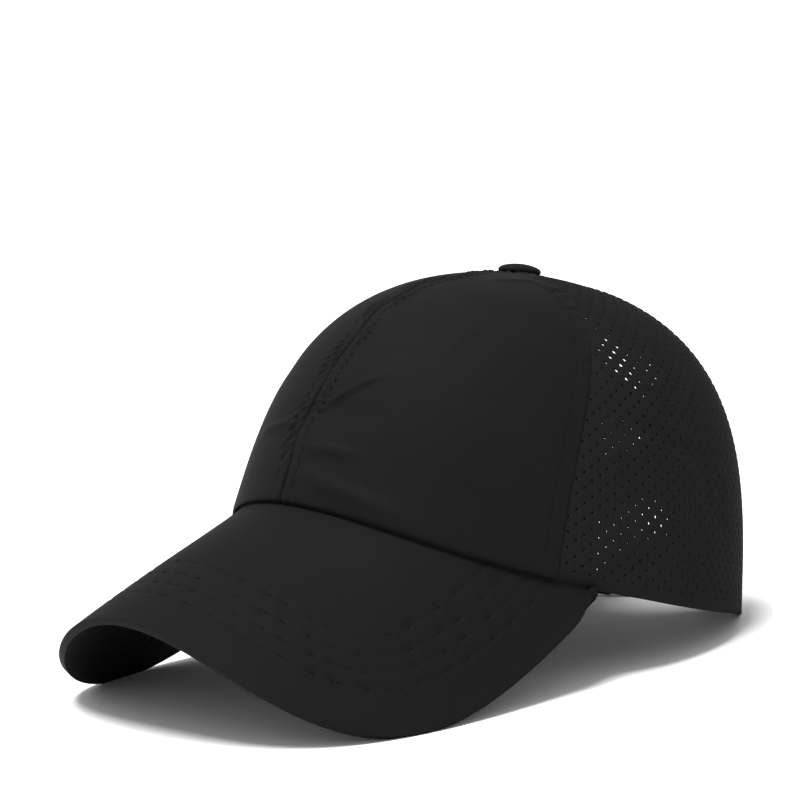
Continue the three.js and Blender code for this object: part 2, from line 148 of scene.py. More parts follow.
@dataclass(frozen=True)
class ClothFinish:
    """A woven cloth whose threads follow the piece's own flat cut, a UV map in millimetres.

    The threads of the real cloth are about 0.2 mm, too fine to show, so they are drawn at thread_mm.
    """

    name: str
    colour: str
    worn_colour: str
    weave: Weave
    thread_mm: float
    thread_height_mm: float
    rumple_mm: float = 9.0
    rumple_height_mm: float = 0.12
    roughness: float = 0.62
    specular: float = 0.06
    sheen: float = 0.012
    sheen_roughness: float = 0.45
    cloudiness_mm: float = 30.0

    def material(self) -> bpy.types.Material:
        """Builds the finish.

        Returns:
            The material, with its weave, soft rumples and slight unevenness of colour.
        """
        material = bpy.data.materials.new(self.name)
        material.use_nodes = True
        tree = material.node_tree
        shader = tree.nodes["Principled BSDF"]
        flat = add_node(tree, "ShaderNodeUVMap", uv_map="cut").outputs["UV"]
        clouds = add_node(
            tree, "ShaderNodeTexNoise",
            {"Vector": flat, "Scale": 1.0 / self.cloudiness_mm, "Detail": 4.0, "Roughness": 0.6},
        )
        tint = add_node(
            tree, "ShaderNodeMix",
            {"Factor": clouds.outputs["Fac"], "A": linear(self.colour), "B": linear(self.worn_colour)},
            data_type="RGBA",
        )
        tree.links.new(tint.outputs["Result"], shader.inputs["Base Color"])
        rumples = add_node(
            tree, "ShaderNodeTexNoise",
            {"Vector": flat, "Scale": 1.0 / self.rumple_mm, "Detail": 3.0, "Roughness": 0.5},
        )
        soft = add_node(
            tree, "ShaderNodeBump",
            {"Strength": 1.0, "Distance": self.rumple_height_mm * MM, "Height": rumples.outputs["Fac"]},
        )
        fine = add_node(
            tree, "ShaderNodeBump",
            {
                "Strength": 1.0,
                "Distance": self.thread_height_mm * MM,
                "Height": self._threads(tree, flat),
                "Normal": soft.outputs["Normal"],
            },
        )
        tree.links.new(fine.outputs["Normal"], shader.inputs["Normal"])
        shader.inputs["Roughness"].default_value = self.roughness
        shader.inputs["Sheen Weight"].default_value = self.sheen
        shader.inputs["Sheen Roughness"].default_value = self.sheen_roughness
        shader.inputs["Specular IOR Level"].default_value = self.specular
        return material

    def _threads(self, tree: bpy.types.NodeTree, flat: Socket) -> Socket:
        """The height of the weave, from the two directions of its threads.

        Args:
            tree: the material's node tree.
            flat: the place on the flat cut, in millimetres.

        Returns:
            The height, from -1 to 1.
        """
        turns = 2.0 * math.pi / self.thread_mm
        parts = add_node(tree, "ShaderNodeSeparateXYZ", {"Vector": flat})
        warp, weft = parts.outputs["X"], parts.outputs["Y"]
        if self.weave is Weave.TWILL:
            warp = add_node(tree, "ShaderNodeMath", {0: warp, 1: weft}, operation="ADD").outputs[0]
        waves = [
            add_node(
                tree, "ShaderNodeMath",
                {0: add_node(tree, "ShaderNodeMath", {0: axis, 1: turns}, operation="MULTIPLY").outputs[0]},
                operation="SINE",
            ).outputs[0]
            for axis in (warp, weft)
        ]
        if self.weave is Weave.RIBBED:
            return waves[1]
        return add_node(tree, "ShaderNodeMath", {0: waves[0], 1: waves[1]}, operation="MULTIPLY").outputs[0]


@dataclass(frozen=True)
class MouldedFinish:
    """A moulded or spun hard finish with a fine grain, which reads the object's own coordinates."""

    name: str
    colour: str
    worn_colour: str
    roughness: float
    grain_mm: float
    grain_height_mm: float
    specular: float = 0.2

    def material(self) -> bpy.types.Material:
        """Builds the finish, with its grain as bump and as a slight change of colour.

        Returns:
            The material.
        """
        material = bpy.data.materials.new(self.name)
        material.use_nodes = True
        tree = material.node_tree
        shader = tree.nodes["Principled BSDF"]
        place = add_node(tree, "ShaderNodeTexCoord").outputs["Object"]
        grain = add_node(
            tree, "ShaderNodeTexNoise",
            {"Vector": place, "Scale": 1.0 / (self.grain_mm * MM), "Detail": 2.0, "Roughness": 0.5},
        )
        tint = add_node(
            tree, "ShaderNodeMix",
            {"Factor": grain.outputs["Fac"], "A": linear(self.colour), "B": linear(self.worn_colour)},
            data_type="RGBA",
        )
        bump = add_node(
            tree, "ShaderNodeBump",
            {"Strength": 1.0, "Distance": self.grain_height_mm * MM, "Height": grain.outputs["Fac"]},
        )
        tree.links.new(tint.outputs["Result"], shader.inputs["Base Color"])
        tree.links.new(bump.outputs["Normal"], shader.inputs["Normal"])
        shader.inputs["Roughness"].default_value = self.roughness
        shader.inputs["Specular IOR Level"].default_value = self.specular
        return material


@dataclass(frozen=True)
class Finishes:
    """Every finish of the cap, made once."""

    # Polyester microfibre, plain woven and dyed black: matt, with a faint bloom where it turns away.
    panel: ClothFinish = ClothFinish(
        "woven_black_microfibre", "#141415", "#181819", Weave.PLAIN, 0.8, 0.02,
        specular=0.03)
    # The same cloth punched with small holes, which slackens it a little. Its colour is lighter than the
    # front panels': painted light, standing in for the light that falls on the back panels.
    pierced: ClothFinish = ClothFinish(
        "punched_black_microfibre_painted_light", "#1a1a1b", "#1f1f20", Weave.PLAIN, 0.8, 0.02, rumple_height_mm=0.18,
        specular=0.004, sheen=0.0)
    # The same cloth drawn tight over the brim's board, so it rumples less.
    brim_cover: ClothFinish = ClothFinish(
        "stretched_black_microfibre", "#131314", "#171718", Weave.PLAIN, 0.8, 0.02, rumple_height_mm=0.06,
        specular=0.03)
    # Twill under the brim, with no sheen. Its colour is darker than the cover's: painted shade, for the shade
    # that falls under the brim.
    brim_lining: ClothFinish = ClothFinish(
        "deep_black_twill_painted_shade", "#101011", "#141415", Weave.TWILL, 0.8, 0.02, sheen=0.0)
    # Folded polyester tape with fine ribs across it.
    tape: ClothFinish = ClothFinish(
        "ribbed_black_tape", "#161617", "#1b1b1c", Weave.RIBBED, 0.9, 0.04, rumple_height_mm=0.05)
    # Spun polyester thread: small dark twists that mark the seams.
    thread: MouldedFinish = MouldedFinish("spun_black_thread", "#0c0c0d", "#131314", 0.6, 0.4, 0.04, 0.05)
    # Moulded acetal: an even black with a soft gloss on its edges.
    buckle: MouldedFinish = MouldedFinish("moulded_black_acetal", "#0e0e0f", "#141415", 0.34, 0.5, 0.004)


# The cap's form


@dataclass(frozen=True)
class Placing:
    """How the cap's own frame lies in the scene: tilted back onto its rim, over the floor."""

    tilt: float = math.radians(17.057)
    back: float = 32.816
    up: float = 24.690
    floor: float = 0.0

    def turned(self, own: Array) -> Array:
        """Turns directions or points of the cap's own frame with its tilt.

        Args:
            own: rows of x, y and z.

        Returns:
            The turned rows.
        """
        cosine, sine = math.cos(self.tilt), math.sin(self.tilt)
        x, y, z = own[:, 0], own[:, 1], own[:, 2]
        return np.stack([x, y * cosine + z * sine, z * cosine - y * sine], axis=1)

    def points(self, own: Array) -> Array:
        """Puts points of the cap's own frame into the scene.

        Args:
            own: rows of x, y and z in millimetres.

        Returns:
            Rows of x, y and z in metres, with what would lie below the floor flattened onto it.
        """
        placed = self.turned(own) + np.array([0.0, self.back, self.up])
        placed[:, 2] = np.maximum(placed[:, 2], self.floor)
        return placed * MM


@dataclass(frozen=True)
class Fold:
    """A soft fold that sinks into the crown, its lengths as shares of the crown's length."""

    angle: float
    climb: float
    turn: float
    length: float
    width: float
    depth: float


@dataclass(frozen=True)
class Crease:
    """A narrow crease that stands out along a line, from one angle and climb to another."""

    angle: float
    climb: float
    end_angle: float
    end_climb: float
    width: float
    height: float
    valley: float = 0.35


@dataclass(frozen=True)
class CrownForm:
    """The smooth form of the crown and the lines on it that its pieces share."""

    length: float = 196.0
    width: float = 160.0
    height: float = 105.9
    arch_height: float = 12.8
    arch_reach: float = math.radians(92.8)
    arch_sharpness: float = 2.97
    side_roundness: float = 2.285
    front_roundness: float = 1.865
    profile_roundness: float = 2.675
    waist_share: float = 0.039
    top_set_back: float = 1.4
    button_set_forward: float = 8.0
    shank_hole: float = 3.4
    seam_at_rim: float = math.radians(67.7)
    seam_at_top: float = math.radians(75.5)
    opening_half_width: float = 39.5
    opening_top: float = 0.893
    opening_shoulder: float = 1.8
    opening_point: float = 0.72
    hem_height: float = 2.5
    hem_depth: float = 1.6
    hem_start: tuple[float, float] = (math.radians(-40.0), math.radians(-22.0))
    hem_end: tuple[float, float] = (math.radians(79.0), math.radians(94.0))
    folds: tuple[Fold, ...] = (
        Fold(24, 0.36, 12, 0.1, 0.03, 0.0035),
        Fold(6, 0.16, 8, 0.085, 0.025, 0.005),
        Fold(46, 0.56, -38, 0.1, 0.035, 0.0035),
        Fold(-34, 0.3, -20, 0.1, 0.03, 0.0012),
        Fold(94, 0.3, -28, 0.085, 0.0275, 0.005),
        Fold(112, 0.17, -60, 0.07, 0.025, 0.0055),
        Fold(-100, 0.28, 30, 0.085, 0.0275, 0.005),
    )
    creases: tuple[Crease, ...] = (
        Crease(5.5, 0.18, 17.8, 0.273, 1.5, 0.8),
        Crease(-20, 0.11, -4.8, 0.13, 1.7, 0.9),
        Crease(3.5, 0.083, 18, 0.085, 1.9, 0.8),
        Crease(5.2, 0.033, 32.5, 0.013, 2.0, 0.9),
        Crease(12, 0.343, 29.5, 0.328, 2.6, 0.25),
        Crease(29.5, 0.328, 41.5, 0.52, 3.0, 0.25),
        Crease(36, 0.79, 60, 0.825, 1.8, 0.5),
        Crease(60, 0.825, 74, 0.74, 1.8, 0.5),
        Crease(81.8, 0.33, 104, 0.278, 3.0, 1.2),
        Crease(108.8, 0.217, 113, 0.152, 2.6, 1.0),
        Crease(78.5, 0.006, 90, 0.034, 1.8, -0.8),
        Crease(-92, 0.36, -112, 0.26, 2.6, 0.8),
    )

    @property
    def half_length(self) -> float:
        """Half the crown's length at the rim."""
        return self.length / 2.0

    @property
    def half_width(self) -> float:
        """Half the crown's width at the rim."""
        return self.width / 2.0

    @property
    def meridian(self) -> float:
        """About how far it is over the crown from the rim to the button."""
        return self.half_length * math.pi / 2.0

    def roundness(self, heading: Array) -> Array:
        """How full the crown is at a heading: the forehead is fuller than the sides and back."""
        return blend(self.side_roundness, self.front_roundness, np.maximum(np.cos(heading), 0.0) ** 2)

    def rim_arch(self, heading: Array) -> Array:
        """Height of the rim above its lowest stretch, arched over the forehead.

        Args:
            heading: directions from the crown's middle, from the front, in radians.

        Returns:
            Heights in millimetres.
        """
        turn = np.abs(np.arctan2(np.sin(heading), np.cos(heading)))
        share = np.minimum(turn / self.arch_reach, 1.0)
        return self.arch_height * np.maximum(np.cos(share * math.pi / 2.0), 0.0) ** self.arch_sharpness

    def plan_share(self, angle: Array, climb: Array) -> Array:
        """Distance from the button at a climb, as a share of the rim's.

        Args:
            angle: angles from the front, in radians.
            climb: climbs, from 0 at the rim to 1 at the button.

        Returns:
            Shares, from 1 at the rim down to the edge of the shank's hole.
        """
        top = self.shank_hole / np.hypot(self.half_length * np.cos(angle), self.half_width * np.sin(angle))
        power = self.roundness(angle) / 2.0
        return np.cos(np.arccos(top ** power) * climb) ** (1.0 / power)

    def face(self, angle: Array, climb: Array) -> Array:
        """Points of the crown's smooth outer face, in its own frame.

        Args:
            angle: angles from the front, in radians.
            climb: climbs, from 0 at the rim to 1 at the button.

        Returns:
            Rows of x, y and z in millimetres.
        """
        angle, climb = np.broadcast_arrays(np.asarray(angle, float), np.asarray(climb, float))
        share = self.plan_share(angle, climb)
        set_forward = self.button_set_forward / self.half_length
        forward = share * np.cos(angle) + set_forward * (1.0 - share ** 2) ** 2
        left = share * np.sin(angle)
        heading = np.arctan2(left, forward)
        radius = np.minimum(np.hypot(left, forward), 1.0)
        rise = np.maximum(1.0 - radius ** self.roundness(heading), 0.0) ** (1.0 / self.profile_roundness)
        reach = radius * (1.0 - self.waist_share * hump(rise))
        return np.stack([
            self.half_width * np.sin(heading) * reach,
            self.top_set_back * rise - self.half_length * np.cos(heading) * reach,
            self.height * rise + self.rim_arch(heading) * (1.0 - rise),
        ], axis=-1)

    def _steps(self, angle: Array, climb: Array) -> tuple[Array, Array]:
        """How the face moves for each radian of angle and for each unit of climb.

        Args:
            angle: angles from the front, in radians.
            climb: climbs, from 0 at the rim to 1 at the button.

        Returns:
            The two directions, in millimetres for a radian and for a whole climb.
        """
        step = 1e-3
        low, high = np.maximum(climb - step, 0.0), np.minimum(climb + step, 1.0)
        across = (self.face(angle + step, climb) - self.face(angle - step, climb)) / (2.0 * step)
        up = (self.face(angle, high) - self.face(angle, low)) / (high - low)[..., None]
        return across, up

    def normal(self, angle: Array, climb: Array) -> Array:
        """The outward direction of the crown's face.

        Args:
            angle: angles from the front, in radians.
            climb: climbs, from 0 at the rim to 1 at the button.

        Returns:
            Rows of unit length.
        """
        across, up = self._steps(angle, climb)
        outward = np.cross(across, up)
        return outward / np.linalg.norm(outward, axis=-1, keepdims=True)

    def across_scale(self, angle: Array, climb: Array) -> Array:
        """Millimetres along the face for each radian of angle."""
        return np.linalg.norm(self._steps(angle, climb)[0], axis=-1)

    def relief(self, angle: Array, climb: Array) -> Array:
        """How far the cloth stands off the smooth face, with its folds and creases.

        Args:
            angle: angles from the front, in radians.
            climb: climbs, from 0 at the rim to 1 at the button.

        Returns:
            Millimetres, inwards where negative.
        """
        scale = self.half_width * self.plan_share(angle, climb)
        relief = np.zeros_like(angle)
        for fold in self.folds:
            turn = math.radians(fold.turn)
            across = (angle - math.radians(fold.angle)) * scale
            up = (climb - fold.climb) * self.meridian
            along = (across * math.cos(turn) + up * math.sin(turn)) / (fold.length * self.length)
            beside = (up * math.cos(turn) - across * math.sin(turn)) / (fold.width * self.length)
            relief -= fold.depth * self.length * np.exp(-(along ** 2) - beside ** 2)
        for crease in self.creases:
            across = (angle - math.radians(crease.angle)) * scale
            up = (climb - crease.climb) * self.meridian
            run = math.radians(crease.end_angle - crease.angle) * scale
            rise = (crease.end_climb - crease.climb) * self.meridian
            length = np.maximum(np.hypot(run, rise), 1.0)
            along = (across * run + up * rise) / length
            beside = (up * run - across * rise) / length
            ends = smooth(-0.25, 0.3, along / length) * (1.0 - smooth(0.7, 1.25, along / length))
            ridge = np.exp(-((beside / crease.width) ** 2))
            valley = np.exp(-((beside / crease.width + 1.5) ** 2))
            relief += crease.height * ends * (ridge - crease.valley * valley)
        return relief

    def hem(self, angle: Array, climb: Array) -> Array:
        """How far the cloth turns in at the rim, where its edge rolls under above the brim.

        Args:
            angle: angles from the front, in radians.
            climb: climbs, from 0 at the rim to 1 at the button.

        Returns:
            Millimetres inwards.
        """
        above = (self.face(angle, climb) - self.face(angle, np.zeros_like(climb)))[..., 2]
        share = np.clip(above / self.hem_height, 0.0, 1.0)
        reach = smooth(*self.hem_start, angle) * (1.0 - smooth(*self.hem_end, angle))
        return self.hem_depth * reach * (1.0 - np.sqrt(1.0 - (1.0 - share) ** 2))

    def point(self, angle: Array, climb: Array, lift: Array | float) -> Array:
        """Points at a lift above the crown's face, folds and creases included.

        Args:
            angle: angles from the front, in radians.
            climb: climbs, from 0 at the rim to 1 at the button.
            lift: millimetres outwards.

        Returns:
            Rows of x, y and z in millimetres.
        """
        angle, climb, lift = np.broadcast_arrays(
            np.asarray(angle, float), np.asarray(climb, float), np.asarray(lift, float))
        height = lift + self.relief(angle, climb)
        return self.face(angle, climb) + self.normal(angle, climb) * height[..., None]

    def arc_angle(self, length: Array | float, climb: Array | float) -> Array:
        """The angle at the back that an arc of the given length takes at a climb."""
        side = np.full_like(np.asarray(climb, float), math.pi / 2.0)
        return np.asarray(length, float) / (self.half_width * self.plan_share(side, climb))

    def side_seam(self, climb: Array) -> Array:
        """The angle of the side seam, which leans forward towards the rim."""
        return blend(self.seam_at_top, self.seam_at_rim, np.cos(np.asarray(climb) * math.pi / 2.0) ** 4)

    def opening_reach(self, climb: Array) -> Array:
        """Half the opening's width along the crown: a tall pointed arch, closed above its top."""
        share = np.clip(np.asarray(climb, float) / self.opening_top, 0.0, 1.0)
        return self.opening_half_width * (1.0 - share ** self.opening_shoulder) ** self.opening_point

    def rim_point(self, arc: Array, lift: Array, height: Array) -> Array:
        """Points near the back of the rim, by arc from the back seam, lift and height.

        Args:
            arc: millimetres round the rim from the back's middle, to the wearer's left.
            lift: millimetres outwards.
            height: millimetres above the rim.

        Returns:
            Rows of x, y and z in millimetres.
        """
        rise = np.maximum(height, 0.0) / self.height
        radius = (1.0 - rise ** self.profile_roundness) ** (1.0 / self.side_roundness)
        reach = radius * (1.0 - self.waist_share * hump(rise))
        heading = math.pi - arc / self.half_width
        across = np.sin(heading) * (self.half_width * reach + lift)
        back = -np.cos(heading) * (self.half_length * reach + lift)
        return np.stack([across, back + self.top_set_back * rise, height], axis=-1)


CROWN = CrownForm()
PLACING = Placing()


# Making pieces


def cloth_grid(columns: int, rows: int, width: float = 1.0, height: float = 1.0) -> bmesh.types.BMesh:
    """Starts a cloth as a flat grid.

    Args:
        columns: how many cells lie side by side.
        rows: how many cells lie above each other.
        width: the grid's width along X.
        height: the grid's height along Y.

    Returns:
        A bmesh whose grid starts at the origin.
    """
    bm = bmesh.new()
    bmesh.ops.create_grid(bm, x_segments=columns, y_segments=rows, size=0.5)
    bmesh.ops.translate(bm, verts=bm.verts, vec=(0.5, 0.5, 0.0))
    bmesh.ops.scale(bm, verts=bm.verts, vec=(width, height, 1.0))
    return bm


def keep_cut(bm: bmesh.types.BMesh, width: float, height: float) -> None:
    """Keeps the cloth's flat cut, in millimetres, as the UV map that its weave follows.

    Args:
        bm: the flat cloth.
        width: millimetres for each unit of the cloth's X.
        height: millimetres for each unit of its Y.
    """
    cut = bm.loops.layers.uv.new("cut")
    for face in bm.faces:
        for loop in face.loops:
            loop[cut].uv = (loop.vert.co.x * width, loop.vert.co.y * height)


def lay(bm: bmesh.types.BMesh, place: Callable[[Array, Array], Array]) -> None:
    """Lays a flat cloth over its form.

    Args:
        bm: the flat cloth.
        place: gives rows of points in the cap's own frame for the flat X and Y.
    """
    flat = np.array([vertex.co[:2] for vertex in bm.verts])
    for vertex, spot in zip(bm.verts, PLACING.points(place(flat[:, 0], flat[:, 1]))):
        vertex.co = spot


def make_piece(
    bm: bmesh.types.BMesh,
    name: str,
    materials: Sequence[bpy.types.Material],
    replaces: Sequence[str],
) -> bpy.types.Object:
    """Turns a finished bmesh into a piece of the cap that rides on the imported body.

    Args:
        bm: the piece's mesh, which is freed.
        name: the piece's name.
        materials: its materials, in the order of the faces' indices.
        replaces: the CAD nodes that it stands for.

    Returns:
        The new object.
    """
    mesh = bpy.data.meshes.new(name)
    for face in bm.faces:
        face.smooth = True
    bm.to_mesh(mesh)
    bm.free()
    for material in materials:
        mesh.materials.append(material)
    piece = bpy.data.objects.new(name, mesh)
    bpy.context.scene.collection.objects.link(piece)
    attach(piece, "root")
    if replaces:
        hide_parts(*replaces)
    LOG.info("%s: %d faces", name, len(mesh.polygons))
    return piece


def thicken(piece: bpy.types.Object, wall: float, rounding: float = 0.0) -> None:
    """Gives a cloth its thickness, inwards from its outer face.

    Args:
        piece: the cloth.
        wall: its thickness in millimetres.
        rounding: the radius of its edges in millimetres, or 0 to leave them.
    """
    solid = piece.modifiers.new("wall", "SOLIDIFY")
    solid.thickness = wall * MM
    solid.offset = -1.0
    if rounding > 0.0:
        bevel = piece.modifiers.new("soft_edges", "BEVEL")
        bevel.width = rounding * MM
        bevel.segments = 2
        bevel.limit_method = "ANGLE"
        bevel.angle_limit = math.radians(50.0)


@dataclass(frozen=True)
class Thread:
    """A row of machine stitches along a path on the cloth."""

    length: float = 2.2
    gap: float = 0.6
    width: float = 0.36
    height: float = 0.26
    wander: float = 0.12

    def sew(self, bm: bmesh.types.BMesh, path: Array, seed: int) -> None:
        """Adds one stitch after another along a path.

        Args:
            bm: the mesh that takes the stitches.
            path: points on the cloth in the cap's own frame, with the outward directions beside them,
                as rows of six.
            seed: fixes how the stitches wander.
        """
        chance = np.random.default_rng(seed)
        points, outward = PLACING.points(path[:, :3]), PLACING.turned(path[:, 3:])
        run = np.concatenate([[0.0], np.cumsum(np.linalg.norm(np.diff(points, axis=0), axis=1))])
        pitch = (self.length + self.gap) * MM
        for start in np.arange(0.5 * pitch, run[-1] - 0.5 * pitch, pitch):
            ends = [self._at(run, points, start + way * self.length * MM / 2.0) for way in (-1.0, 1.0)]
            normal = Vector(self._at(run, outward, start)).normalized()
            along = Vector(ends[1] - ends[0])
            side = along.normalized().cross(normal).normalized()
            middle = Vector((ends[0] + ends[1]) / 2.0)
            middle += side * float(chance.uniform(-self.wander, self.wander)) * MM
            turn = Matrix.Identity(4)
            for column, axis in enumerate((
                side * self.width * MM / 2.0, normal * self.height * MM / 2.0, along / 2.0, middle
            )):
                turn.col[column][:3] = axis
            bmesh.ops.create_uvsphere(bm, u_segments=6, v_segments=4, radius=1.0, matrix=turn)

    @staticmethod
    def _at(run: Array, rows: Array, distance: float) -> Array:
        """The value of rows at a distance along the path."""
        return np.array([np.interp(distance, run, rows[:, axis]) for axis in range(3)])


def crown_path(angle: Array, climb: Array, lift: Array | float) -> Array:
    """A path on the crown for a row of stitches, as rows of a point and its outward direction."""
    return np.concatenate([CROWN.point(angle, climb, lift), CROWN.normal(angle, climb)], axis=1)


def sewn_piece(
    rows: Sequence[Array], name: str, thread: Thread, finish: bpy.types.Material
) -> None:
    """Sews several rows of stitches as one piece.

    Args:
        rows: the paths.
        name: the piece's name.
        thread: the stitches' sizes.
        finish: the thread's material.
    """
    bm = bmesh.new()
    for seed, row in enumerate(rows):
        thread.sew(bm, row, seed)
    make_piece(bm, name, [finish], [])


@dataclass(frozen=True)
class SidePuckers:
    """The puckers across a side seam, which grow towards the top button."""

    low: float = 0.06
    growth: float = 0.24
    growing: tuple[float, float] = (0.5, 0.75)
    long_period: float = 7.9
    short_period: float = 5.3
    reach: float = 5.0

    def lift(self, distance: Array, height: Array) -> Array:
        """How far the cloth stands off beside the seam.

        Args:
            distance: millimetres from the seam.
            height: millimetres above the rim.

        Returns:
            Millimetres, inwards where negative.
        """
        size = self.low + self.growth * smooth(*self.growing, height / CROWN.meridian)
        waves = ripple(height, self.long_period, 1.3) + 0.6 * ripple(height, self.short_period, 0.2)
        return size * waves * np.exp(-((distance / self.reach) ** 2))


SIDE_PUCKERS = SidePuckers()


# The cap's sub-assemblies


@dataclass
class FrontPanels:
    """The two panels over the forehead, with the seam between them and their rows of stitches."""

    finishes: dict[str, bpy.types.Material]
    columns: int = 112
    rows: int = 180
    wall: float = 0.9
    centre_stitch: float = 4.6
    side_stitch: float = 5.6
    edge_roll: float = 0.9
    seam_depth: float = 0.8
    seam_wander: float = 1.6
    wander_periods: tuple[float, float] = (83.0, 29.0)
    wander_from: float = 25.0
    wander_to: tuple[float, float] = (0.8, 0.95)
    wander_reach: tuple[float, float] = (4.0, 16.0)
    band_rise: float = 0.12
    groove: float = 0.12
    groove_width: float = 0.5
    pucker: float = 0.5
    pucker_period: float = 4.3
    pucker_place: float = 3.8
    pucker_reach: float = 3.0
    gather_period: float = 31.0
    row_crowding: float = 1.2
    cut: tuple[float, float] = (0.105, 0.165)
    cut_area: float = 0.0105
    lowest: float = 0.0004
    edge_density: float = 0.13

    def build(self) -> None:
        """Builds both panels and their stitches."""
        for side in Side:
            self._panel(side)
        self._stitches()

    def _panel(self, side: Side) -> None:
        """Cuts, lays and finishes one panel.

        Args:
            side: the side of the cap that it is on.
        """
        name = f"front_panel_{side.name.lower()}"
        bm = cloth_grid(self.columns, self.rows)
        keep_cut(bm, CROWN.half_length, CROWN.meridian)
        lay(bm, lambda u, v: self._place(u, v, side))
        if side is Side.RIGHT:
            bmesh.ops.reverse_faces(bm, faces=bm.faces)
        piece = make_piece(bm, f"{name}_cloth", [self.finishes["panel"]], [name])
        thicken(piece, self.wall)

    def _place(self, u: Array, v: Array, side: Side) -> Array:
        """Points of a panel's outer face, with its seams, hem and puckers.

        Args:
            u: share of the way from the centre seam to the side seam.
            v: share of the way from the rim to the button.
            side: the side of the cap that it is on.

        Returns:
            Rows of x, y and z in millimetres.
        """
        climb = blend(self.lowest, 1.0, v ** self.row_crowding)
        share = u - self.edge_density * np.sin(2.0 * math.pi * u)
        seam = CROWN.side_seam(climb)
        angle = seam * share
        scale = CROWN.across_scale(angle, climb)
        centre, beside = angle * scale, (seam - angle) * scale
        height = climb * CROWN.meridian
        lift = self._centre_lift(centre, height, side) + self._side_lift(beside, height)
        lift -= CROWN.hem(side.value * angle, climb)
        drift = self._drift(height) / scale * (1.0 - smooth(*self.wander_reach, centre))
        return CROWN.point(side.value * angle + drift, climb, lift)

    def _drift(self, height: Array) -> Array:
        """How far the centre seam wanders to the wearer's left on its way up.

        Args:
            height: millimetres above the rim.

        Returns:
            Millimetres to the wearer's left.
        """
        top = smooth(*self.wander_to, height / CROWN.meridian)
        ends = smooth(0.0, self.wander_from, height) * (1.0 - top)
        long_period, short_period = self.wander_periods
        waves = ripple(height, long_period, -2.2) + 0.3 * ripple(height, short_period, 0.7)
        return self.seam_wander * ends * waves

    def _centre_lift(self, distance: Array, height: Array, side: Side) -> Array:
        """The centre seam: a groove, a padded band as far as the stitches, and puckers across it.

        Args:
            distance: millimetres from the seam.
            height: millimetres above the rim.
            side: the side of the cap that it is on.

        Returns:
            Millimetres above the crown's face.
        """
        depth = self.seam_depth * (0.75 + 0.25 * ripple(height, 23.0, 0.4))
        lift = -depth * (1.0 - smooth(0.0, self.edge_roll, distance))
        beyond = smooth(self.centre_stitch - 0.9, self.centre_stitch, distance)
        lift += self.band_rise * smooth(0.4, 1.6, distance) * (1.0 - beyond)
        lift -= self.groove * np.exp(-(((distance - self.centre_stitch) / self.groove_width) ** 2))
        skew = height + 0.8 * distance
        waves = ripple(skew, self.pucker_period, side.value) + 0.7 * ripple(height, 0.73 * self.pucker_period)
        gathers = 0.6 + 0.4 * ripple(height, self.gather_period, 2.0 * side.value)
        near = np.exp(-(((distance - self.pucker_place) / self.pucker_reach) ** 2))
        return lift + self.pucker * waves * gathers * near * smooth(2.0, 12.0, height)

    def _side_lift(self, distance: Array, height: Array) -> Array:
        """The side seam: a folded edge that lies over the back panel, raised as far as its stitches.

        Args:
            distance: millimetres from the seam.
            height: millimetres above the rim.

        Returns:
            Millimetres above the crown's face.
        """
        lift = -0.5 * self.seam_depth * (1.0 - smooth(0.0, 0.8, distance))
        lift += self.band_rise * (1.0 - smooth(self.side_stitch - 1.2, self.side_stitch, distance))
        lift -= 0.3 * self.groove * np.exp(-(((distance - self.side_stitch) / self.groove_width) ** 2))
        return lift + SIDE_PUCKERS.lift(distance, height)

    def _stitches(self) -> None:
        """Sews the rows beside the centre seam and the side seams."""
        rows = []
        for side in Side:
            climb = np.linspace(0.02, 0.955, 220)
            away = side.value * self.centre_stitch + self._drift(climb * CROWN.meridian)
            front = away / CROWN.across_scale(np.zeros_like(climb), climb)
            rows.append(crown_path(front, climb, 0.05 - self.groove))
            seam = CROWN.side_seam(climb)
            back = seam - self.side_stitch / CROWN.across_scale(seam, climb)
            rows.append(crown_path(side.value * back, climb, 0.0))
        sewn_piece(rows, "front_panel_stitches", Thread(), self.finishes["thread"])


@dataclass(frozen=True)
class Slack:
    """A place where the punched cloth hangs open, so that more light comes through its holes."""

    angle: float
    climb: float
    width: float
    height: float
    opened: float
    thinned: float


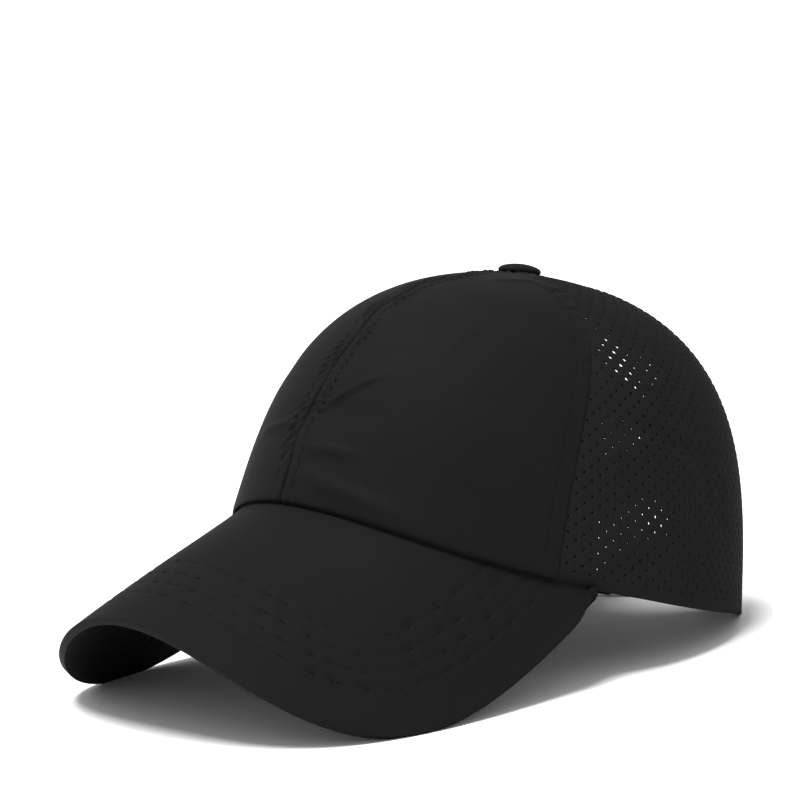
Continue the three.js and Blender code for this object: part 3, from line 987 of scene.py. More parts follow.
@dataclass
class BackPanels:
    """The two back panels, punched all over with small holes in staggered rows."""

    finishes: dict[str, bpy.types.Material]
    hole: float = 0.82
    widest_hole: float = 1.4
    top_closing: float = 0.42
    pitch: float = 6.0
    row_step: float = 2.6
    wall: float = 0.85
    tuck: float = 1.6
    tuck_depth: float = 1.0
    tuck_reach: float = 4.0
    sunk: float = 0.15
    binding_dip: float = 0.25
    binding_reach: tuple[float, float] = (7.0, 11.0)
    hem_share: float = 1.3
    edge_margin: float = 0.5
    closing: tuple[float, float] = (0.5, 0.8)
    most_thinned: float = 0.7
    cut_angle: float = math.radians(104.0)
    under_binding: float = 1.0
    sag: float = 1.0
    sag_angle: float = math.radians(104.0)
    sag_reach: float = math.radians(24.0)
    sag_height: float = 6.0
    cut: tuple[float, float] = (0.115, 0.165)
    cut_area: float = 0.0125
    slacks: tuple[Slack, ...] = (
        Slack(82.0, 0.47, 7.0, 20.0, 0.45, 0.62),
        Slack(93.5, 0.46, 6.0, 12.0, 0.1, 0.6),
        Slack(89.5, 0.265, 7.0, 6.0, 0.4, 0.5),
        Slack(91.0, 0.095, 8.5, 6.5, 0.36, 0.25),
    )

    def build(self) -> None:
        """Builds both panels."""
        for side in Side:
            self._panel(side)

    def _panel(self, side: Side) -> None:
        """Punches, trims, lays and finishes one panel.

        Args:
            side: the side of the cap that it is on.
        """
        name = f"back_panel_{side.name.lower()}"
        self._survey()
        cell = self.pitch / 2.0
        left = math.floor(self.left_edge.min() / cell) * cell
        columns = math.ceil((self.right_edge.max() - left) / cell)
        rows = math.ceil(self.heights[-1] / self.row_step)
        bm = cloth_grid(columns, rows, columns * cell, rows * self.row_step)
        bmesh.ops.translate(bm, verts=bm.verts, vec=(left, 0.0, 0.0))
        self._punch(bm, left, cell)
        self._trim(bm)
        keep_cut(bm, 1.0, 1.0)
        self._weigh_wall(bm)
        lay(bm, lambda x, y: self._place(x, y, side))
        if side is Side.RIGHT:
            bmesh.ops.reverse_faces(bm, faces=bm.faces)
        # The punched finish is lighter than the front panels' cloth, painted light on the back panels.
        piece = make_piece(bm, f"{name}_cloth", [self.finishes["pierced"]], [name])
        piece.vertex_groups.new(name="wall_share")
        thicken(piece, self.wall)
        piece.modifiers["wall"].vertex_group = "wall_share"

    def _survey(self) -> None:
        """Works out how the flat cut lies on the crown: its heights, and arcs at each height."""
        self.climbs = np.linspace(0.0, 1.0, 81)
        middle = CROWN.face(np.full_like(self.climbs, self.cut_angle), self.climbs)
        steps = np.linalg.norm(np.diff(middle, axis=0), axis=1)
        self.heights = np.concatenate([[0.0], np.cumsum(steps)])
        self.angles = np.linspace(math.radians(55.0), math.pi, 161)
        self.arcs = np.empty((len(self.climbs), len(self.angles)))
        for index, climb in enumerate(self.climbs):
            ring = CROWN.face(self.angles, np.full_like(self.angles, climb))
            run = np.concatenate([[0.0], np.cumsum(np.linalg.norm(np.diff(ring, axis=0), axis=1))])
            self.arcs[index] = run - np.interp(self.cut_angle, self.angles, run)
        self.left_edge = self._arc_at(CROWN.side_seam(self.climbs)) - self.tuck
        reach = CROWN.opening_reach(self.climbs) + self.under_binding
        opening = math.pi - CROWN.arc_angle(reach, self.climbs)
        self.right_edge = np.maximum(self._arc_at(opening), self.left_edge + 0.5)

    def _arc_at(self, angle: Array) -> Array:
        """The flat X of an angle at each surveyed height."""
        return np.array([np.interp(a, self.angles, arcs) for a, arcs in zip(angle, self.arcs)])

    def _edges(self, y: Array) -> tuple[Array, Array]:
        """The flat X of the cut's two edges at a height."""
        return np.interp(y, self.heights, self.left_edge), np.interp(y, self.heights, self.right_edge)

    def _punch(self, bm: bmesh.types.BMesh, left: float, cell: float) -> None:
        """Punches a round hole into every second cell that lies whole inside the cut.

        Args:
            bm: the flat cloth.
            left: the flat X of its left edge.
            cell: the width of its cells.
        """
        chosen = []
        for face in bm.faces:
            middle = face.calc_center_median()
            column = math.floor((middle.x - left) / cell)
            row = math.floor(middle.y / self.row_step)
            low, high = self._edges(np.array([vertex.co.y for vertex in face.verts]))
            across = np.array([vertex.co.x for vertex in face.verts])
            inside = np.all((across > low + self.edge_margin) & (across < high - self.edge_margin))
            if inside and row > 0 and (column + row) % 2 == 0:
                chosen.append(face)
        rim = (self.row_step - self.widest_hole) / 2.0
        bmesh.ops.inset_individual(bm, faces=chosen, thickness=rim, use_even_offset=True)
        centres = {face: face.calc_center_median() for face in chosen}
        edges = list({edge for face in chosen for edge in face.edges})
        bmesh.ops.subdivide_edges(bm, edges=edges, cuts=1)
        for face, centre in centres.items():
            radius = self._hole_size(centre.x, centre.y) / 2.0
            for vertex in face.verts:
                vertex.co = centre + (vertex.co - centre).normalized() * radius
        bmesh.ops.delete(bm, geom=list(centres), context="FACES")

    def _hole_size(self, x: float, y: float) -> float:
        """The diameter of the hole at a place on the flat cut.

        Args:
            x: millimetres across the flat cut.
            y: millimetres up it.

        Returns:
            The diameter in millimetres.
        """
        climb = float(np.interp(y, self.heights, self.climbs))
        size = self.hole * (1.0 - self.top_closing * float(smooth(*self.closing, climb)))
        for slack in self.slacks:
            size += slack.opened * self._nearness(slack, x, y)
        return min(size, self.widest_hole)

    def _nearness(self, slack: Slack, x: float, y: float) -> float:
        """How near a place on the flat cut is to the middle of a slack place, up to 1.

        Args:
            slack: the slack place.
            x: millimetres across the flat cut.
            y: millimetres up it.

        Returns:
            1 in its middle, falling to 0.
        """
        row = round(slack.climb * (len(self.climbs) - 1))
        across = x - float(np.interp(math.radians(slack.angle), self.angles, self.arcs[row]))
        up = y - float(self.heights[row])
        return math.exp(-((across / slack.width) ** 2) - (up / slack.height) ** 2)

    def _weigh_wall(self, bm: bmesh.types.BMesh) -> None:
        """Keeps each vertex's share of the wall: drawn thinner where the cloth is slack.

        Args:
            bm: the flat cloth.
        """
        share = bm.verts.layers.deform.verify()
        for vertex in bm.verts:
            x, y = vertex.co.x, vertex.co.y
            thinned = sum(slack.thinned * self._nearness(slack, x, y) for slack in self.slacks)
            vertex[share][0] = 1.0 - min(thinned, self.most_thinned)

    def _trim(self, bm: bmesh.types.BMesh) -> None:
        """Draws what lies outside the cut in to its edges.

        Args:
            bm: the flat cloth.
        """
        for vertex in bm.verts:
            vertex.co.y = min(vertex.co.y, self.heights[-1])
        across = np.array([vertex.co.x for vertex in bm.verts])
        low, high = self._edges(np.array([vertex.co.y for vertex in bm.verts]))
        for vertex, x in zip(bm.verts, np.clip(across, low, high)):
            vertex.co.x = x
        bmesh.ops.remove_doubles(bm, verts=bm.verts, dist=0.05)
        bmesh.ops.dissolve_degenerate(bm, edges=bm.edges, dist=0.02)

    def _place(self, x: Array, y: Array, side: Side) -> Array:
        """Points of a panel's outer face, dipped under the front panel's edge and into the binding.

        Args:
            x: millimetres across the flat cut.
            y: millimetres up it.
            side: the side of the cap that it is on.

        Returns:
            Rows of x, y and z in millimetres.
        """
        climb = np.interp(y, self.heights, self.climbs)
        place = np.clip(climb * (len(self.climbs) - 1), 0, len(self.climbs) - 1.001)
        lower = place.astype(int)
        angle = np.array([
            blend(
                np.interp(spot, self.arcs[row], self.angles),
                np.interp(spot, self.arcs[row + 1], self.angles),
                part,
            )
            for spot, row, part in zip(x, lower, place - lower)
        ])
        low, high = self._edges(y)
        lift = -self.sunk - self.tuck_depth * (1.0 - smooth(0.0, self.tuck_reach, x - low))
        lift -= self.binding_dip * (1.0 - smooth(*self.binding_reach, high - x))
        lift += SIDE_PUCKERS.lift(np.maximum(x - low - self.tuck, 0.0), y)
        lift -= self.hem_share * CROWN.hem(side.value * angle, climb)
        points = CROWN.point(side.value * angle, climb, lift)
        turned, raised = (angle - self.sag_angle) / self.sag_reach, y / self.sag_height
        points[:, 2] -= self.sag * np.exp(-(turned ** 2) - raised ** 2)
        return points


@dataclass
class OpeningBinding:
    """The folded tape round the edge of the ponytail opening, sewn down near both its edges."""

    finishes: dict[str, bpy.types.Material]
    columns: int = 30
    rows: int = 150
    width: float = 9.0
    wall: float = 0.45
    proud: float = 0.35
    inner: float = -1.25
    narrowing: float = 0.6
    narrow_from: float = 0.1
    seam_gap: float = 0.15
    outer_stitch: float = 1.3
    edge_stitch: float = 2.0
    turn_start: float = 0.46
    turn_end: float = 0.54
    rumple: float = 0.12
    rumple_period: float = 8.3
    cut: tuple[float, float] = (0.018, 0.16)

    def build(self) -> None:
        """Builds both tapes and their stitches."""
        rows = []
        for side in Side:
            self._tape(side)
            for inset in (self.edge_stitch, None):
                rows.append(self._stitch_path(side, inset))
        sewn_piece(rows, "binding_stitches", Thread(), self.finishes["thread"])

    def _tape(self, side: Side) -> None:
        """Folds one tape over the edge of the opening.

        Args:
            side: the side of the cap that it is on.
        """
        name = f"opening_binding_{side.name.lower()}"
        bm = cloth_grid(self.columns, self.rows)
        keep_cut(bm, 2.0 * self.width, CROWN.meridian)
        lay(bm, lambda u, v: self._place(u, v, side))
        if side is Side.RIGHT:
            bmesh.ops.reverse_faces(bm, faces=bm.faces)
        piece = make_piece(bm, f"{name}_tape", [self.finishes["tape"]], [name])
        thicken(piece, self.wall)

    def _widths(self, climb: Array) -> Array:
        """The tape's width on the outside: it narrows above the opening."""
        top = CROWN.opening_top
        return self.width * (1.0 - self.narrowing * smooth(top - self.narrow_from, 1.0, climb))

    def _place(self, u: Array, v: Array, side: Side) -> Array:
        """Points of the tape: down its outer face, round the opening's edge and back inside.

        Args:
            u: share of the tape's width, from its outer edge round to its inner one.
            v: share of the way from the rim to the button.
            side: the side of the cap that it is on.

        Returns:
            Rows of x, y and z in millimetres.
        """
        climb = v ** 1.1
        width = self._widths(climb)
        radius = (self.proud - self.inner) / 2.0
        turn = np.clip((u - self.turn_start) / (self.turn_end - self.turn_start), 0.0, 1.0) * math.pi
        inside = np.maximum(u - self.turn_end, 0.0) / (1.0 - self.turn_end)
        straight = np.where(u < self.turn_start, 1.0 - u / self.turn_start, inside)
        arc = radius * (1.0 - np.sin(turn)) + straight * (width - radius) + self.seam_gap
        lift = self.proud - radius + radius * np.cos(turn)
        waves = ripple(climb * CROWN.meridian, self.rumple_period, side.value)
        lift += self.rumple * waves * (turn < 0.1) * hump(straight)
        lift -= 0.25 * np.exp(-(((arc - width) / 0.5) ** 2)) * (turn < 0.1)
        angle = math.pi - CROWN.arc_angle(CROWN.opening_reach(climb) + arc, climb)
        return CROWN.point(side.value * angle, climb, lift)

    def _stitch_path(self, side: Side, inset: float | None) -> Array:
        """A row of stitches near the opening's edge, or near the tape's outer edge where inset is None.

        Args:
            side: the side of the cap that it is on.
            inset: millimetres from the opening's edge, or None.

        Returns:
            The path, as rows of a point and its outward direction.
        """
        climb = np.linspace(0.02, 0.96, 260)
        arc = self._widths(climb) - self.outer_stitch if inset is None else np.full_like(climb, inset)
        angle = math.pi - CROWN.arc_angle(CROWN.opening_reach(climb) + arc, climb)
        return crown_path(side.value * angle, climb, self.proud + 0.05)


@dataclass(frozen=True)
class StrapEnd:
    """Where a crossed strap leaves the opening's edge, as climbs."""

    bottom: float
    top: float


@dataclass
class CrossStraps:
    """Two tapes crossed over the opening, each from high on one side to low on the other."""

    finishes: dict[str, bpy.types.Material]
    high: StrapEnd = StrapEnd(0.43, 0.57)
    low: StrapEnd = StrapEnd(0.09, 0.212)
    tuck: float = 6.0
    sag: float = 4.0
    ease: float = 1.3
    wall: float = 1.1
    outer_lift: float = -1.95
    second_depth: float = 1.8
    columns: int = 90
    rows: int = 16
    stitch_inset: float = 0.11
    cut: tuple[float, float] = (0.015, 0.112)

    def build(self) -> None:
        """Builds both straps and their edge stitches."""
        rows = []
        for side, name, depth in (
            (Side.LEFT, "cross_strap_outer", 0.0),
            (Side.RIGHT, "cross_strap_inner", self.second_depth),
        ):
            bm = cloth_grid(self.columns, self.rows)
            keep_cut(bm, self.cut[1] / MM, self.cut[0] / MM)
            lay(bm, lambda u, v, side=side, depth=depth: self._place(u, v, side, depth))
            if side is Side.LEFT:
                bmesh.ops.reverse_faces(bm, faces=bm.faces)
            piece = make_piece(bm, f"{name}_tape", [self.finishes["tape"]], [name])
            thicken(piece, self.wall, 0.35)
            for share in (self.stitch_inset, 1.0 - self.stitch_inset):
                rows.append(self._stitch_path(side, depth, share))
        sewn_piece(rows, "cross_strap_stitches", Thread(), self.finishes["thread"])

    def _spots(self, u: Array, v: Array, side: Side, depth: float) -> tuple[Array, Array, Array]:
        """Angles, climbs and lifts of a strap's outer face.

        Args:
            u: share of the strap's length, from its high end.
            v: share of its width, from its lower edge.
            side: the side of its high end.
            depth: how far it dips behind the other strap.

        Returns:
            Angles, climbs and lifts.
        """
        fall = 1.0 - (1.0 - u) ** self.ease
        top = blend(self.high.top, self.low.top, fall)
        bottom = blend(self.high.bottom, self.low.bottom, fall)
        climb = blend(bottom, top, v)
        start = CROWN.opening_reach(blend(self.high.bottom, self.high.top, v)) + self.tuck
        end = -CROWN.opening_reach(blend(self.low.bottom, self.low.top, v)) - self.tuck
        arc = side.value * blend(start, end, u)
        bow = np.maximum(1.0 - (arc / CROWN.opening_reach(climb)) ** 2, 0.0)
        lift = self.outer_lift - (self.sag + depth) * bow
        lift += 0.25 * hump(v) * bow
        return math.pi - CROWN.arc_angle(arc, climb), climb, lift

    def _place(self, u: Array, v: Array, side: Side, depth: float) -> Array:
        """Points of a strap's outer face."""
        return CROWN.point(*self._spots(u, v, side, depth))

    def _stitch_path(self, side: Side, depth: float, share: float) -> Array:
        """A row of stitches along one edge of a strap.

        Args:
            side: the side of the strap's high end.
            depth: how far it dips behind the other strap.
            share: share of the strap's width.

        Returns:
            The path, as rows of a point and its outward direction.
        """
        u = np.linspace(0.05, 0.95, 160)
        angle, climb, lift = self._spots(u, np.full_like(u, share), side, depth)
        return crown_path(angle, climb, lift + 0.1)


@dataclass
class Closure:
    """The adjustable closure: the strap, the tab and the slider buckle that joins them."""

    finishes: dict[str, bpy.types.Material]
    bottom: float = 2.0
    height: float = 13.0
    wall: float = 1.1
    bow: float = 6.5
    tuck: float = 7.0
    tail: float = 56.0
    taper: float = 9.0
    gap: float = 0.35
    face: float = -2.6
    buckle_length: float = 15.0
    buckle_bar: float = 1.5
    buckle_wall: float = 1.8
    buckle_corner: float = 2.4
    buckle_tuck: float = 2.5
    slot_clearance: float = 0.45
    buckle_rise: float = 0.25
    rows: int = 12

    @property
    def buckle_middle(self) -> float:
        """The arc of the buckle's middle, on the wearer's right."""
        return -(CROWN.opening_half_width + self.buckle_tuck - self.buckle_length / 2.0)

    @property
    def turn_radius(self) -> float:
        """The radius of the cloth's middle round a bar of the buckle."""
        return math.hypot(self.buckle_bar, self.buckle_wall) / 2.0 + self.gap + 0.6

    @property
    def tail_lift(self) -> float:
        """The lift of the strap's inner run."""
        return self.face - 1.2 - self.gap

    def build(self) -> None:
        """Builds the strap, the tab, the buckle and the stitches."""
        half = CROWN.opening_half_width
        near_bar = self.buckle_middle + (self.buckle_length - self.buckle_bar) / 2.0
        far_bar = self.buckle_middle - (self.buckle_length - self.buckle_bar) / 2.0
        strap = np.concatenate([
            self._run(half + self.tuck, near_bar + 1.0, self.face),
            self._turn(near_bar, -1.0),
            self._run(near_bar + self.taper, near_bar + self.tail, self.tail_lift),
        ])
        end = -half - self.tuck
        tab = np.concatenate([
            self._run(end, far_bar - 1.0, self.face),
            self._turn(far_bar, 1.0),
            self._run(far_bar - self.taper, end, self.tail_lift),
        ])
        self._strip(strap, "closure_strap", (0.013, 0.138))
        self._strip(tab, "buckle_tab", (0.013, 0.024))
        self._buckle()
        rows = [self._stitch_path(share) for share in (0.1, 0.9)]
        sewn_piece(rows, "closure_stitches", Thread(), self.finishes["thread"])

    def _point(self, arc: Array, lift: Array, height: Array) -> Array:
        """Points of the closure, which is drawn tighter than the rim's curve."""
        bow = self.bow * np.maximum(1.0 - (arc / CROWN.opening_half_width) ** 2, 0.0)
        return CROWN.rim_point(arc, lift - bow, height)

    @staticmethod
    def _run(start: float, end: float, lift: float) -> Array:
        """A level run of the cloth's line, as rows of arc and lift."""
        count = max(math.ceil(abs(end - start) / 1.5), 2)
        return np.stack([np.linspace(start, end, count), np.full(count, lift)], axis=1)

    def _turn(self, bar: float, way: float) -> Array:
        """Half a turn of the cloth's line round a bar of the buckle.

        Args:
            bar: the arc of the bar.
            way: 1 or -1, the way that the turn bulges.

        Returns:
            Rows of arc and lift.
        """
        turn = np.linspace(0.0, math.pi, 13)
        lift = self.face - self.turn_radius
        return np.stack([
            bar + way * self.turn_radius * np.sin(turn), lift + self.turn_radius * np.cos(turn)], axis=1)

    def _strip(self, line: Array, name: str, flat: tuple[float, float]) -> None:
        """Makes a strip of cloth that stands on edge along a line.

        Args:
            line: rows of arc and lift.
            name: the CAD node that it stands for.
            flat: its flat width and length in metres.
        """
        bm = cloth_grid(len(line) - 1, self.rows)
        keep_cut(bm, flat[1] / MM, flat[0] / MM)
        lay(bm, lambda u, v: self._strip_points(line, u, v, 0.5))
        piece = make_piece(bm, f"{name}_tape", [self.finishes["tape"]], [name])
        thicken(piece, self.wall, 0.3)

    def _strip_points(self, line: Array, u: Array, v: Array, side: float) -> Array:
        """Points of one face of a strip, at a share of its wall from its middle.

        Args:
            line: rows of arc and lift.
            u: share of the line.
            v: share of the strip's height.
            side: shares of the wall from its middle.

        Returns:
            Rows of x, y and z in millimetres.
        """
        index = np.round(u * (len(line) - 1)).astype(int)
        ahead = line[np.minimum(index + 1, len(line) - 1)] - line[np.maximum(index - 1, 0)]
        ahead = ahead / np.linalg.norm(ahead, axis=1, keepdims=True)
        arc = line[index, 0] + ahead[:, 1] * side * self.wall
        lift = line[index, 1] - ahead[:, 0] * side * self.wall
        return self._point(arc, lift, self.bottom + v * self.height)

    def _stitch_path(self, share: float) -> Array:
        """A row of stitches along the strap's outer run.

        Args:
            share: share of the strap's height.

        Returns:
            The path, as rows of a point and its outward direction.
        """
        count = 70
        end = self.buckle_middle + self.buckle_length / 2.0 + 3.0
        arc = np.linspace(CROWN.opening_half_width - 1.0, end, count)
        height = np.full(count, self.bottom + share * self.height)
        points = self._point(arc, np.full(count, self.face + self.wall / 2.0 + 0.05), height)
        outward = points - self._point(arc, np.full(count, self.face - 2.0), height)
        outward /= np.linalg.norm(outward, axis=1, keepdims=True)
        return np.concatenate([points, outward], axis=1)

    def _buckle(self) -> None:
        """Moulds the buckle: a rounded ring, thickened, softened and bent to the rim."""
        height = self.height + 2.0 * (self.slot_clearance + self.buckle_bar)
        level = self.bottom + self.height / 2.0 + self.buckle_rise
        bm = bmesh.new()
        outer = self._outline(bm, self.buckle_length, height, self.buckle_corner)
        slot = self._outline(
            bm, self.buckle_length - 2.0 * self.buckle_bar, height - 2.0 * self.buckle_bar, 0.6)
        bmesh.ops.bridge_loops(bm, edges=outer + slot)
        bmesh.ops.recalc_face_normals(bm, faces=bm.faces)
        walls = bmesh.ops.extrude_face_region(bm, geom=list(bm.faces))
        raised = [item for item in walls["geom"] if isinstance(item, bmesh.types.BMVert)]
        bmesh.ops.translate(bm, verts=raised, vec=(0.0, 0.0, self.buckle_wall))
        bmesh.ops.recalc_face_normals(bm, faces=bm.faces)
        sharp = [edge for edge in bm.edges if edge.calc_face_angle(0.0) > math.radians(50.0)]
        bmesh.ops.bevel(
            bm, geom=sharp, affect="EDGES", offset=0.35, segments=2, profile=0.5, material=-1)
        middle_lift = self.face - self.turn_radius - self.buckle_wall / 2.0
        own = np.array([vertex.co[:] for vertex in bm.verts])
        bent = self._point(self.buckle_middle + own[:, 0], middle_lift + own[:, 2], level + own[:, 1])
        for vertex, spot in zip(bm.verts, PLACING.points(bent)):
            vertex.co = spot
        bmesh.ops.recalc_face_normals(bm, faces=bm.faces)
        finish = self.finishes["buckle"]
        make_piece(bm, "slider_buckle_moulding", [finish], ["slider_buckle"])

    @staticmethod
    def _outline(
        bm: bmesh.types.BMesh, width: float, height: float, corner: float
    ) -> list[bmesh.types.BMEdge]:
        """Draws a rounded rectangle from a circle whose quarters are drawn out to the corners.

        Args:
            bm: the mesh that takes it.
            width: its width.
            height: its height.
            corner: the radius of its corners.

        Returns:
            Its edges.
        """
        ring = bmesh.ops.create_circle(bm, segments=32, radius=corner)["verts"]
        for vertex in ring:
            turn = math.atan2(vertex.co.y, vertex.co.x)
            quarter = math.floor(turn / (math.pi / 2.0) + 1e-6) * math.pi / 2.0 + math.pi / 4.0
            vertex.co.x += math.copysign(width / 2.0 - corner, math.cos(quarter))
            vertex.co.y += math.copysign(height / 2.0 - corner, math.sin(quarter))
        return list({edge for vertex in ring for edge in vertex.link_edges})


@dataclass
class Brim:
    """The curved brim: a board covered in cloth above and below, with four rows of stitches."""

    finishes: dict[str, bpy.types.Material]
    corner: float = math.radians(79.4)
    reach: float = 138.4
    wall: float = 2.8
    crown: float = 1.6
    root_inset: float = 1.9
    root_rise: float = 5.0
    root_share: float = 0.07
    end_corner: float = math.radians(76.4)
    end_pull: float = 7.0
    end_tuck: float = 3.2
    front_drop: float = 33.0
    side_drop: float = 118.7
    side_ease: float = 51.6
    flare: float = 0.766
    flare_ease: float = 0.138
    rounding: float = 0.206
    rounding_ease: float = 0.042
    corner_step: float = 2.2
    columns: int = 216
    rows: int = 84
    stitch_rows: tuple[float, ...] = (16.0, 22.0, 28.0, 35.0)
    half_row: float = 118.0
    groove: float = 0.32
    groove_width: float = 0.7
    pucker: float = 0.2
    pucker_periods: tuple[float, float] = (6.1, 3.9)
    pucker_reach: float = 1.8
    gather_period: float = 37.0
    cover: tuple[float, float] = (230.0, 75.0)
    edge_roll: float = 1.1
    edge: Array = field(init=False)

    def __post_init__(self) -> None:
        """Samples the brim's edge once, for distances from it."""
        self.edge = self._edge(np.linspace(-1.0, 1.0, 361))

    def build(self) -> None:
        """Builds the brim and its stitches."""
        bm = cloth_grid(self.columns, self.rows)
        keep_cut(bm, *self.cover)
        lay(bm, self._place)
        bmesh.ops.reverse_faces(bm, faces=bm.faces)
        # The cloth below the brim takes a darker finish, painted shade under the brim.
        materials = [self.finishes["brim_cover"], self.finishes["brim_lining"]]
        piece = make_piece(bm, "brim_cover", materials, ["brim"])
        thicken(piece, self.wall, self.edge_roll)
        piece.modifiers["wall"].material_offset = 1
        piece.modifiers["soft_edges"].segments = 3
        paths = [self._stitch_path(distance) for distance in self.stitch_rows]
        thread = Thread(length=2.4, width=0.4)
        sewn_piece(paths, "brim_stitches", thread, self.finishes["thread"])

    def _edge(self, share: Array) -> Array:
        """The brim's outer edge, from the right corner at -1 to the left corner at 1.

        Args:
            share: -1 at the right corner to 1 at the left one.

        Returns:
            Rows of x, y and z in millimetres.
        """
        corner = CROWN.point(np.array([self.corner]), np.array([0.0]), self.corner_step)[0]
        turn = share * math.pi / 2.0
        side, front = np.sin(turn) ** 2, np.cos(turn)
        flare = 1.0 + self.flare * front ** 2 - self.flare_ease * front ** 4
        reach = self.reach * front * (1.0 - self.rounding * side - self.rounding_ease * side ** 2)
        drop = self.front_drop + self.side_drop * side - self.side_ease * side ** 2
        end = (np.maximum(np.abs(share) - 0.9, 0.0) / 0.1) ** 2
        across = corner[0] * np.sin(turn) * flare - np.sign(share) * self.end_tuck * end
        return np.stack([across, corner[1] - reach - self.end_pull * end, corner[2] - drop * front], axis=-1)

    def _root(self, share: Array) -> Array:
        """The line where the brim goes under the crown's rim."""
        return CROWN.point(share * self.end_corner, np.zeros_like(share), -self.root_inset)

    def _face(self, across: Array, out: Array) -> Array:
        """Points of the smooth upper face, from inside the rim at out 0 to the edge at 1.

        Args:
            across: -1 at the right end to 1 at the left one.
            out: 0 inside the rim to 1 at the edge.

        Returns:
            Rows of x, y and z in millimetres.
        """
        reach = np.maximum(out - self.root_share, 0.0) / (1.0 - self.root_share)
        span = blend(self._root(across), self._edge(across), reach[:, None])
        span[:, 2] += self.crown * hump(reach) * (1.0 - across ** 2)
        inside = np.maximum(self.root_share - out, 0.0) / self.root_share
        angle = across * self.end_corner
        turned_up = CROWN.point(angle, inside * self.root_rise / CROWN.meridian, -self.root_inset)
        return np.where(out[:, None] < self.root_share, turned_up, span)

    def _normal(self, across: Array, out: Array) -> Array:
        """The upward direction of the upper face.

        Args:
            across: -1 at the right end to 1 at the left one.
            out: 0 inside the rim to 1 at the edge.

        Returns:
            Rows of unit length.
        """
        step = 1e-3
        left = self._face(across + step, out) - self._face(across - step, out)
        outward = self._face(across, out + step) - self._face(across, out - step)
        up = np.cross(outward, left)
        return up / np.linalg.norm(up, axis=1, keepdims=True)

    def _from_edge(self, points: Array) -> Array:
        """How far points of the brim lie from its edge."""
        return np.array([np.sqrt(((self.edge - point) ** 2).sum(axis=1).min()) for point in points])

    def _place(self, u: Array, v: Array) -> Array:
        """Points of the upper face, with a shallow groove along each row of stitches.

        Args:
            u: share of the way from the right end to the left one.
            v: share of the way out.

        Returns:
            Rows of x, y and z in millimetres.
        """
        across = 2.0 * u - 1.0
        points = self._face(across, v)
        distance = self._from_edge(points)
        along = across * self.half_row
        long_period, short_period = self.pucker_periods
        lift = np.zeros_like(distance)
        for row, stitch in enumerate(self.stitch_rows):
            off = distance - stitch
            lift -= self.groove * np.exp(-((off / self.groove_width) ** 2))
            waves = ripple(along, long_period, row * 1.7) + 0.8 * ripple(along, short_period, row * 2.9)
            gathers = 0.6 + 0.4 * ripple(along, self.gather_period, row * 1.1)
            lift += self.pucker * waves * gathers * np.exp(-((off / self.pucker_reach) ** 2))
        return points + self._normal(across, v) * lift[:, None]

    def _stitch_path(self, distance: float) -> Array:
        """A row of stitches at a distance from the edge, from one end at the rim to the other.

        Args:
            distance: millimetres from the edge.

        Returns:
            The path, as rows of a point and its outward direction.
        """
        outs = np.linspace(self.root_share + 0.03, 0.98, 90)
        path = []
        for across in np.linspace(-0.97, 0.97, 260):
            points = self._face(np.full_like(outs, across), outs)
            away = self._from_edge(points)
            if away[0] > distance:
                out = float(np.interp(-distance, -away, outs))
                path.append((across, out))
        spots = np.array(path)
        points = self._face(spots[:, 0], spots[:, 1])
        normal = self._normal(spots[:, 0], spots[:, 1])
        return np.concatenate([points - normal * (self.groove - 0.02), normal], axis=1)


@dataclass
class TopButton:
    """The button on top, covered in the panels' cloth, which gathers under its edge."""

    finishes: dict[str, bpy.types.Material]
    diameter: float = 15.0
    height: float = 4.0
    sink: float = 0.6
    seat: float = 0.35
    shank: float = 3.0
    shank_depth: float = 1.3
    sides: int = 72
    gathers: int = 18
    gather_depth: float = 0.16

    def build(self) -> None:
        """Spins the button's profile, gathers its edge and sets it on the crown."""
        radius = self.diameter / 2.0
        profile = [(0.0, self.height)]
        for step in range(1, 13):
            turn = step / 12.0 * math.pi / 2.0
            profile.append((radius * math.sin(turn), 1.5 + (self.height - 1.5) * math.cos(turn)))
        profile += [(radius - 0.15, 1.0), (radius - 0.7, 0.5), (radius - 1.6, self.seat)]
        profile += [(self.shank, self.seat), (self.shank, -self.shank_depth)]
        bm = bmesh.new()
        ring = [bm.verts.new((across, 0.0, up)) for across, up in profile]
        edges = [bm.edges.new(pair) for pair in zip(ring, ring[1:])]
        bmesh.ops.spin(
            bm, geom=ring + edges, cent=(0, 0, 0), axis=(0, 0, 1), angle=2.0 * math.pi, steps=self.sides,
            use_merge=True)
        bmesh.ops.remove_doubles(bm, verts=bm.verts, dist=1e-4)
        bmesh.ops.holes_fill(bm, edges=bm.edges)
        bmesh.ops.recalc_face_normals(bm, faces=bm.faces)
        for vertex in bm.verts:
            turn = math.atan2(vertex.co.y, vertex.co.x)
            edge = math.hypot(vertex.co.x, vertex.co.y) / radius
            pull = self.gather_depth * max(edge - 0.6, 0.0) / 0.4 * math.cos(self.gathers * turn)
            vertex.co.z += pull * 0.5
            vertex.co.x *= 1.0 + pull * 0.03
            vertex.co.y *= 1.0 + pull * 0.03
        keep_cut(bm, 1.0, 1.0)
        self._seat(bm)
        make_piece(bm, "top_button_cover", [self.finishes["panel"]], ["top_button"])

    def _seat(self, bm: bmesh.types.BMesh) -> None:
        """Sets the button square to the crown where the panels meet.

        Args:
            bm: the button, standing on the origin.
        """
        front, back = CROWN.face(np.array([0.0, math.pi]), np.array([1.0, 1.0]))
        slope = Vector(front - back).normalized()
        up = slope.cross(Vector((1.0, 0.0, 0.0))).normalized()
        if up.z < 0.0:
            up.negate()
        turn = Vector((0.0, 0.0, 1.0)).rotation_difference(up)
        own = np.array([(turn @ vertex.co)[:] for vertex in bm.verts]) + (front + back) / 2.0
        own -= np.array(up) * self.sink
        for vertex, spot in zip(bm.verts, PLACING.points(own)):
            vertex.co = spot


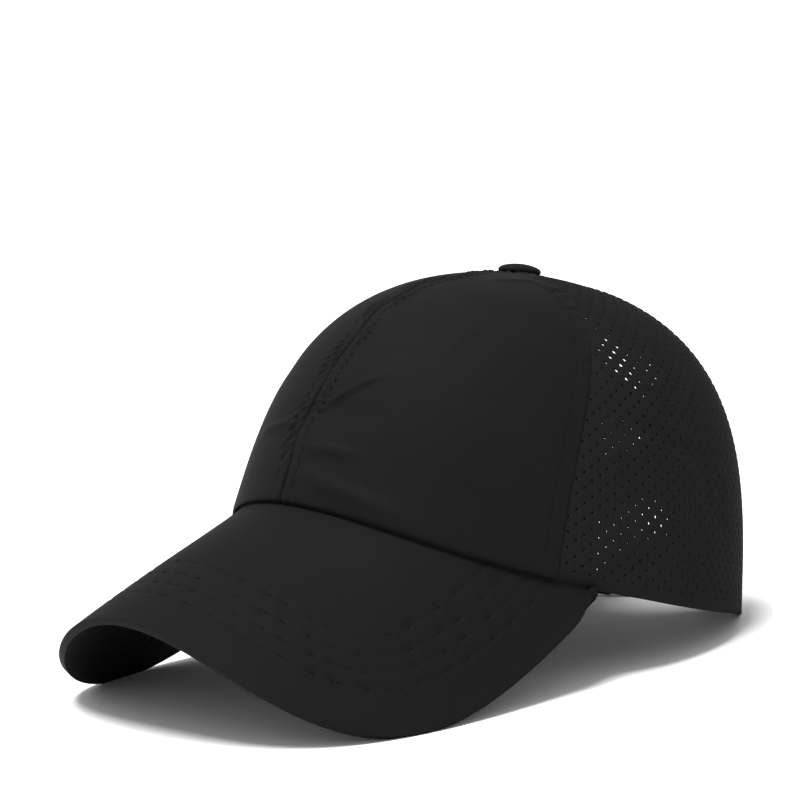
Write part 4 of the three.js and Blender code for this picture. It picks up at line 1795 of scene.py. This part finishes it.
@dataclass
class Studio:
    """The pale floor, the soft lights and the camera."""

    target: tuple[float, float, float] = (-23.555, 18.769, 87.259)
    azimuth: float = 49.739
    elevation: float = 8.092
    roll: float = -4.33
    distance: float = 1300.0
    pixels_per_mm: float = 2.874
    sensor: float = 36.0
    surround: float = 0.62
    overhead: float = 3.9
    overhead_spread: float = math.radians(22.0)
    sun_place: tuple[float, float, float] = (0.02, -0.5, 2.0)
    left_box: float = 5.5
    box_size: float = 1.4
    box_place: tuple[float, float, float] = (-1.6, -0.5, 1.5)
    lit_height: float = 0.07
    floor_half: float = 14.0

    def build(self) -> None:
        """Builds the floor, the lights and the camera."""
        bpy.context.scene.view_settings.view_transform = "Standard"
        self._floor()
        self._lights()
        self._camera()

    def _floor(self) -> None:
        """Lays a wide pale floor."""
        bm = bmesh.new()
        bmesh.ops.create_grid(bm, x_segments=1, y_segments=1, size=self.floor_half)
        mesh = bpy.data.meshes.new("studio_floor")
        bm.to_mesh(mesh)
        bm.free()
        floor = bpy.data.objects.new("studio_floor", mesh)
        bpy.context.scene.collection.objects.link(floor)
        material = bpy.data.materials.new("matt_white_paper")
        material.use_nodes = True
        shader = material.node_tree.nodes["Principled BSDF"]
        shader.inputs["Base Color"].default_value = linear("#fafafa")
        shader.inputs["Roughness"].default_value = 0.9
        shader.inputs["Specular IOR Level"].default_value = 0.1
        mesh.materials.append(material)

    def _lights(self) -> None:
        """Sets a wide sun overhead, a soft box beside the cap's right and a dim white surround."""
        world = bpy.data.worlds.new("studio")
        world.use_nodes = True
        world.node_tree.nodes["Background"].inputs["Color"].default_value = (1.0, 1.0, 1.0, 1.0)
        world.node_tree.nodes["Background"].inputs["Strength"].default_value = self.surround
        bpy.context.scene.world = world
        sun = bpy.data.lights.new("overhead", "SUN")
        sun.energy = self.overhead
        sun.angle = self.overhead_spread
        self._aim(sun, Vector(self.sun_place))
        box = bpy.data.lights.new("left_box", "AREA")
        box.size = self.box_size
        box.energy = self.left_box
        self._aim(box, Vector(self.box_place))

    def _aim(self, light: bpy.types.Light, place: Vector) -> None:
        """Hangs a light at a place, turned towards the cap.

        Args:
            light: the light's data.
            place: where it hangs, in metres.
        """
        lamp = bpy.data.objects.new(light.name, light)
        lamp.location = place
        lamp.rotation_mode = "QUATERNION"
        lamp.rotation_quaternion = (Vector((0.0, 0.0, self.lit_height)) - place).to_track_quat("-Z", "Y")
        bpy.context.scene.collection.objects.link(lamp)

    def _camera(self) -> None:
        """Sets the camera at the photograph's angle to the cap."""
        azimuth, elevation, roll = (math.radians(v) for v in (self.azimuth, self.elevation, self.roll))
        level = math.cos(elevation)
        back = Vector((math.sin(azimuth) * level, -math.cos(azimuth) * level, math.sin(elevation)))
        right = Vector((math.cos(azimuth), math.sin(azimuth), 0.0))
        up = back.cross(right)
        turned_right = right * math.cos(roll) + up * math.sin(roll)
        turned_up = up * math.cos(roll) - right * math.sin(roll)
        data = bpy.data.cameras.new("camera")
        data.sensor_width = self.sensor
        data.lens = self.pixels_per_mm * self.distance / PHOTO_PIXELS * self.sensor
        camera = bpy.data.objects.new("camera", data)
        matrix = Matrix.Identity(4)
        place = (Vector(self.target) + back * self.distance) * MM
        for column, axis in enumerate((turned_right, turned_up, back, place)):
            matrix.col[column][:3] = axis
        camera.matrix_world = matrix
        bpy.context.scene.collection.objects.link(camera)
        bpy.context.scene.camera = camera


def main() -> None:
    """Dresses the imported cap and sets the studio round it."""
    logging.basicConfig(level=logging.INFO, format="%(message)s")
    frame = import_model()
    LOG.info("frame: %d nodes", len(frame["nodes"]))
    chosen = Finishes()
    finishes = {name: getattr(chosen, name).material() for name in chosen.__dataclass_fields__}
    for assembly in (
        FrontPanels(finishes),
        BackPanels(finishes),
        OpeningBinding(finishes),
        CrossStraps(finishes),
        Closure(finishes),
        Brim(finishes),
        TopButton(finishes),
    ):
        assembly.build()
    Studio().build()


if __name__ == "__main__":
    main()
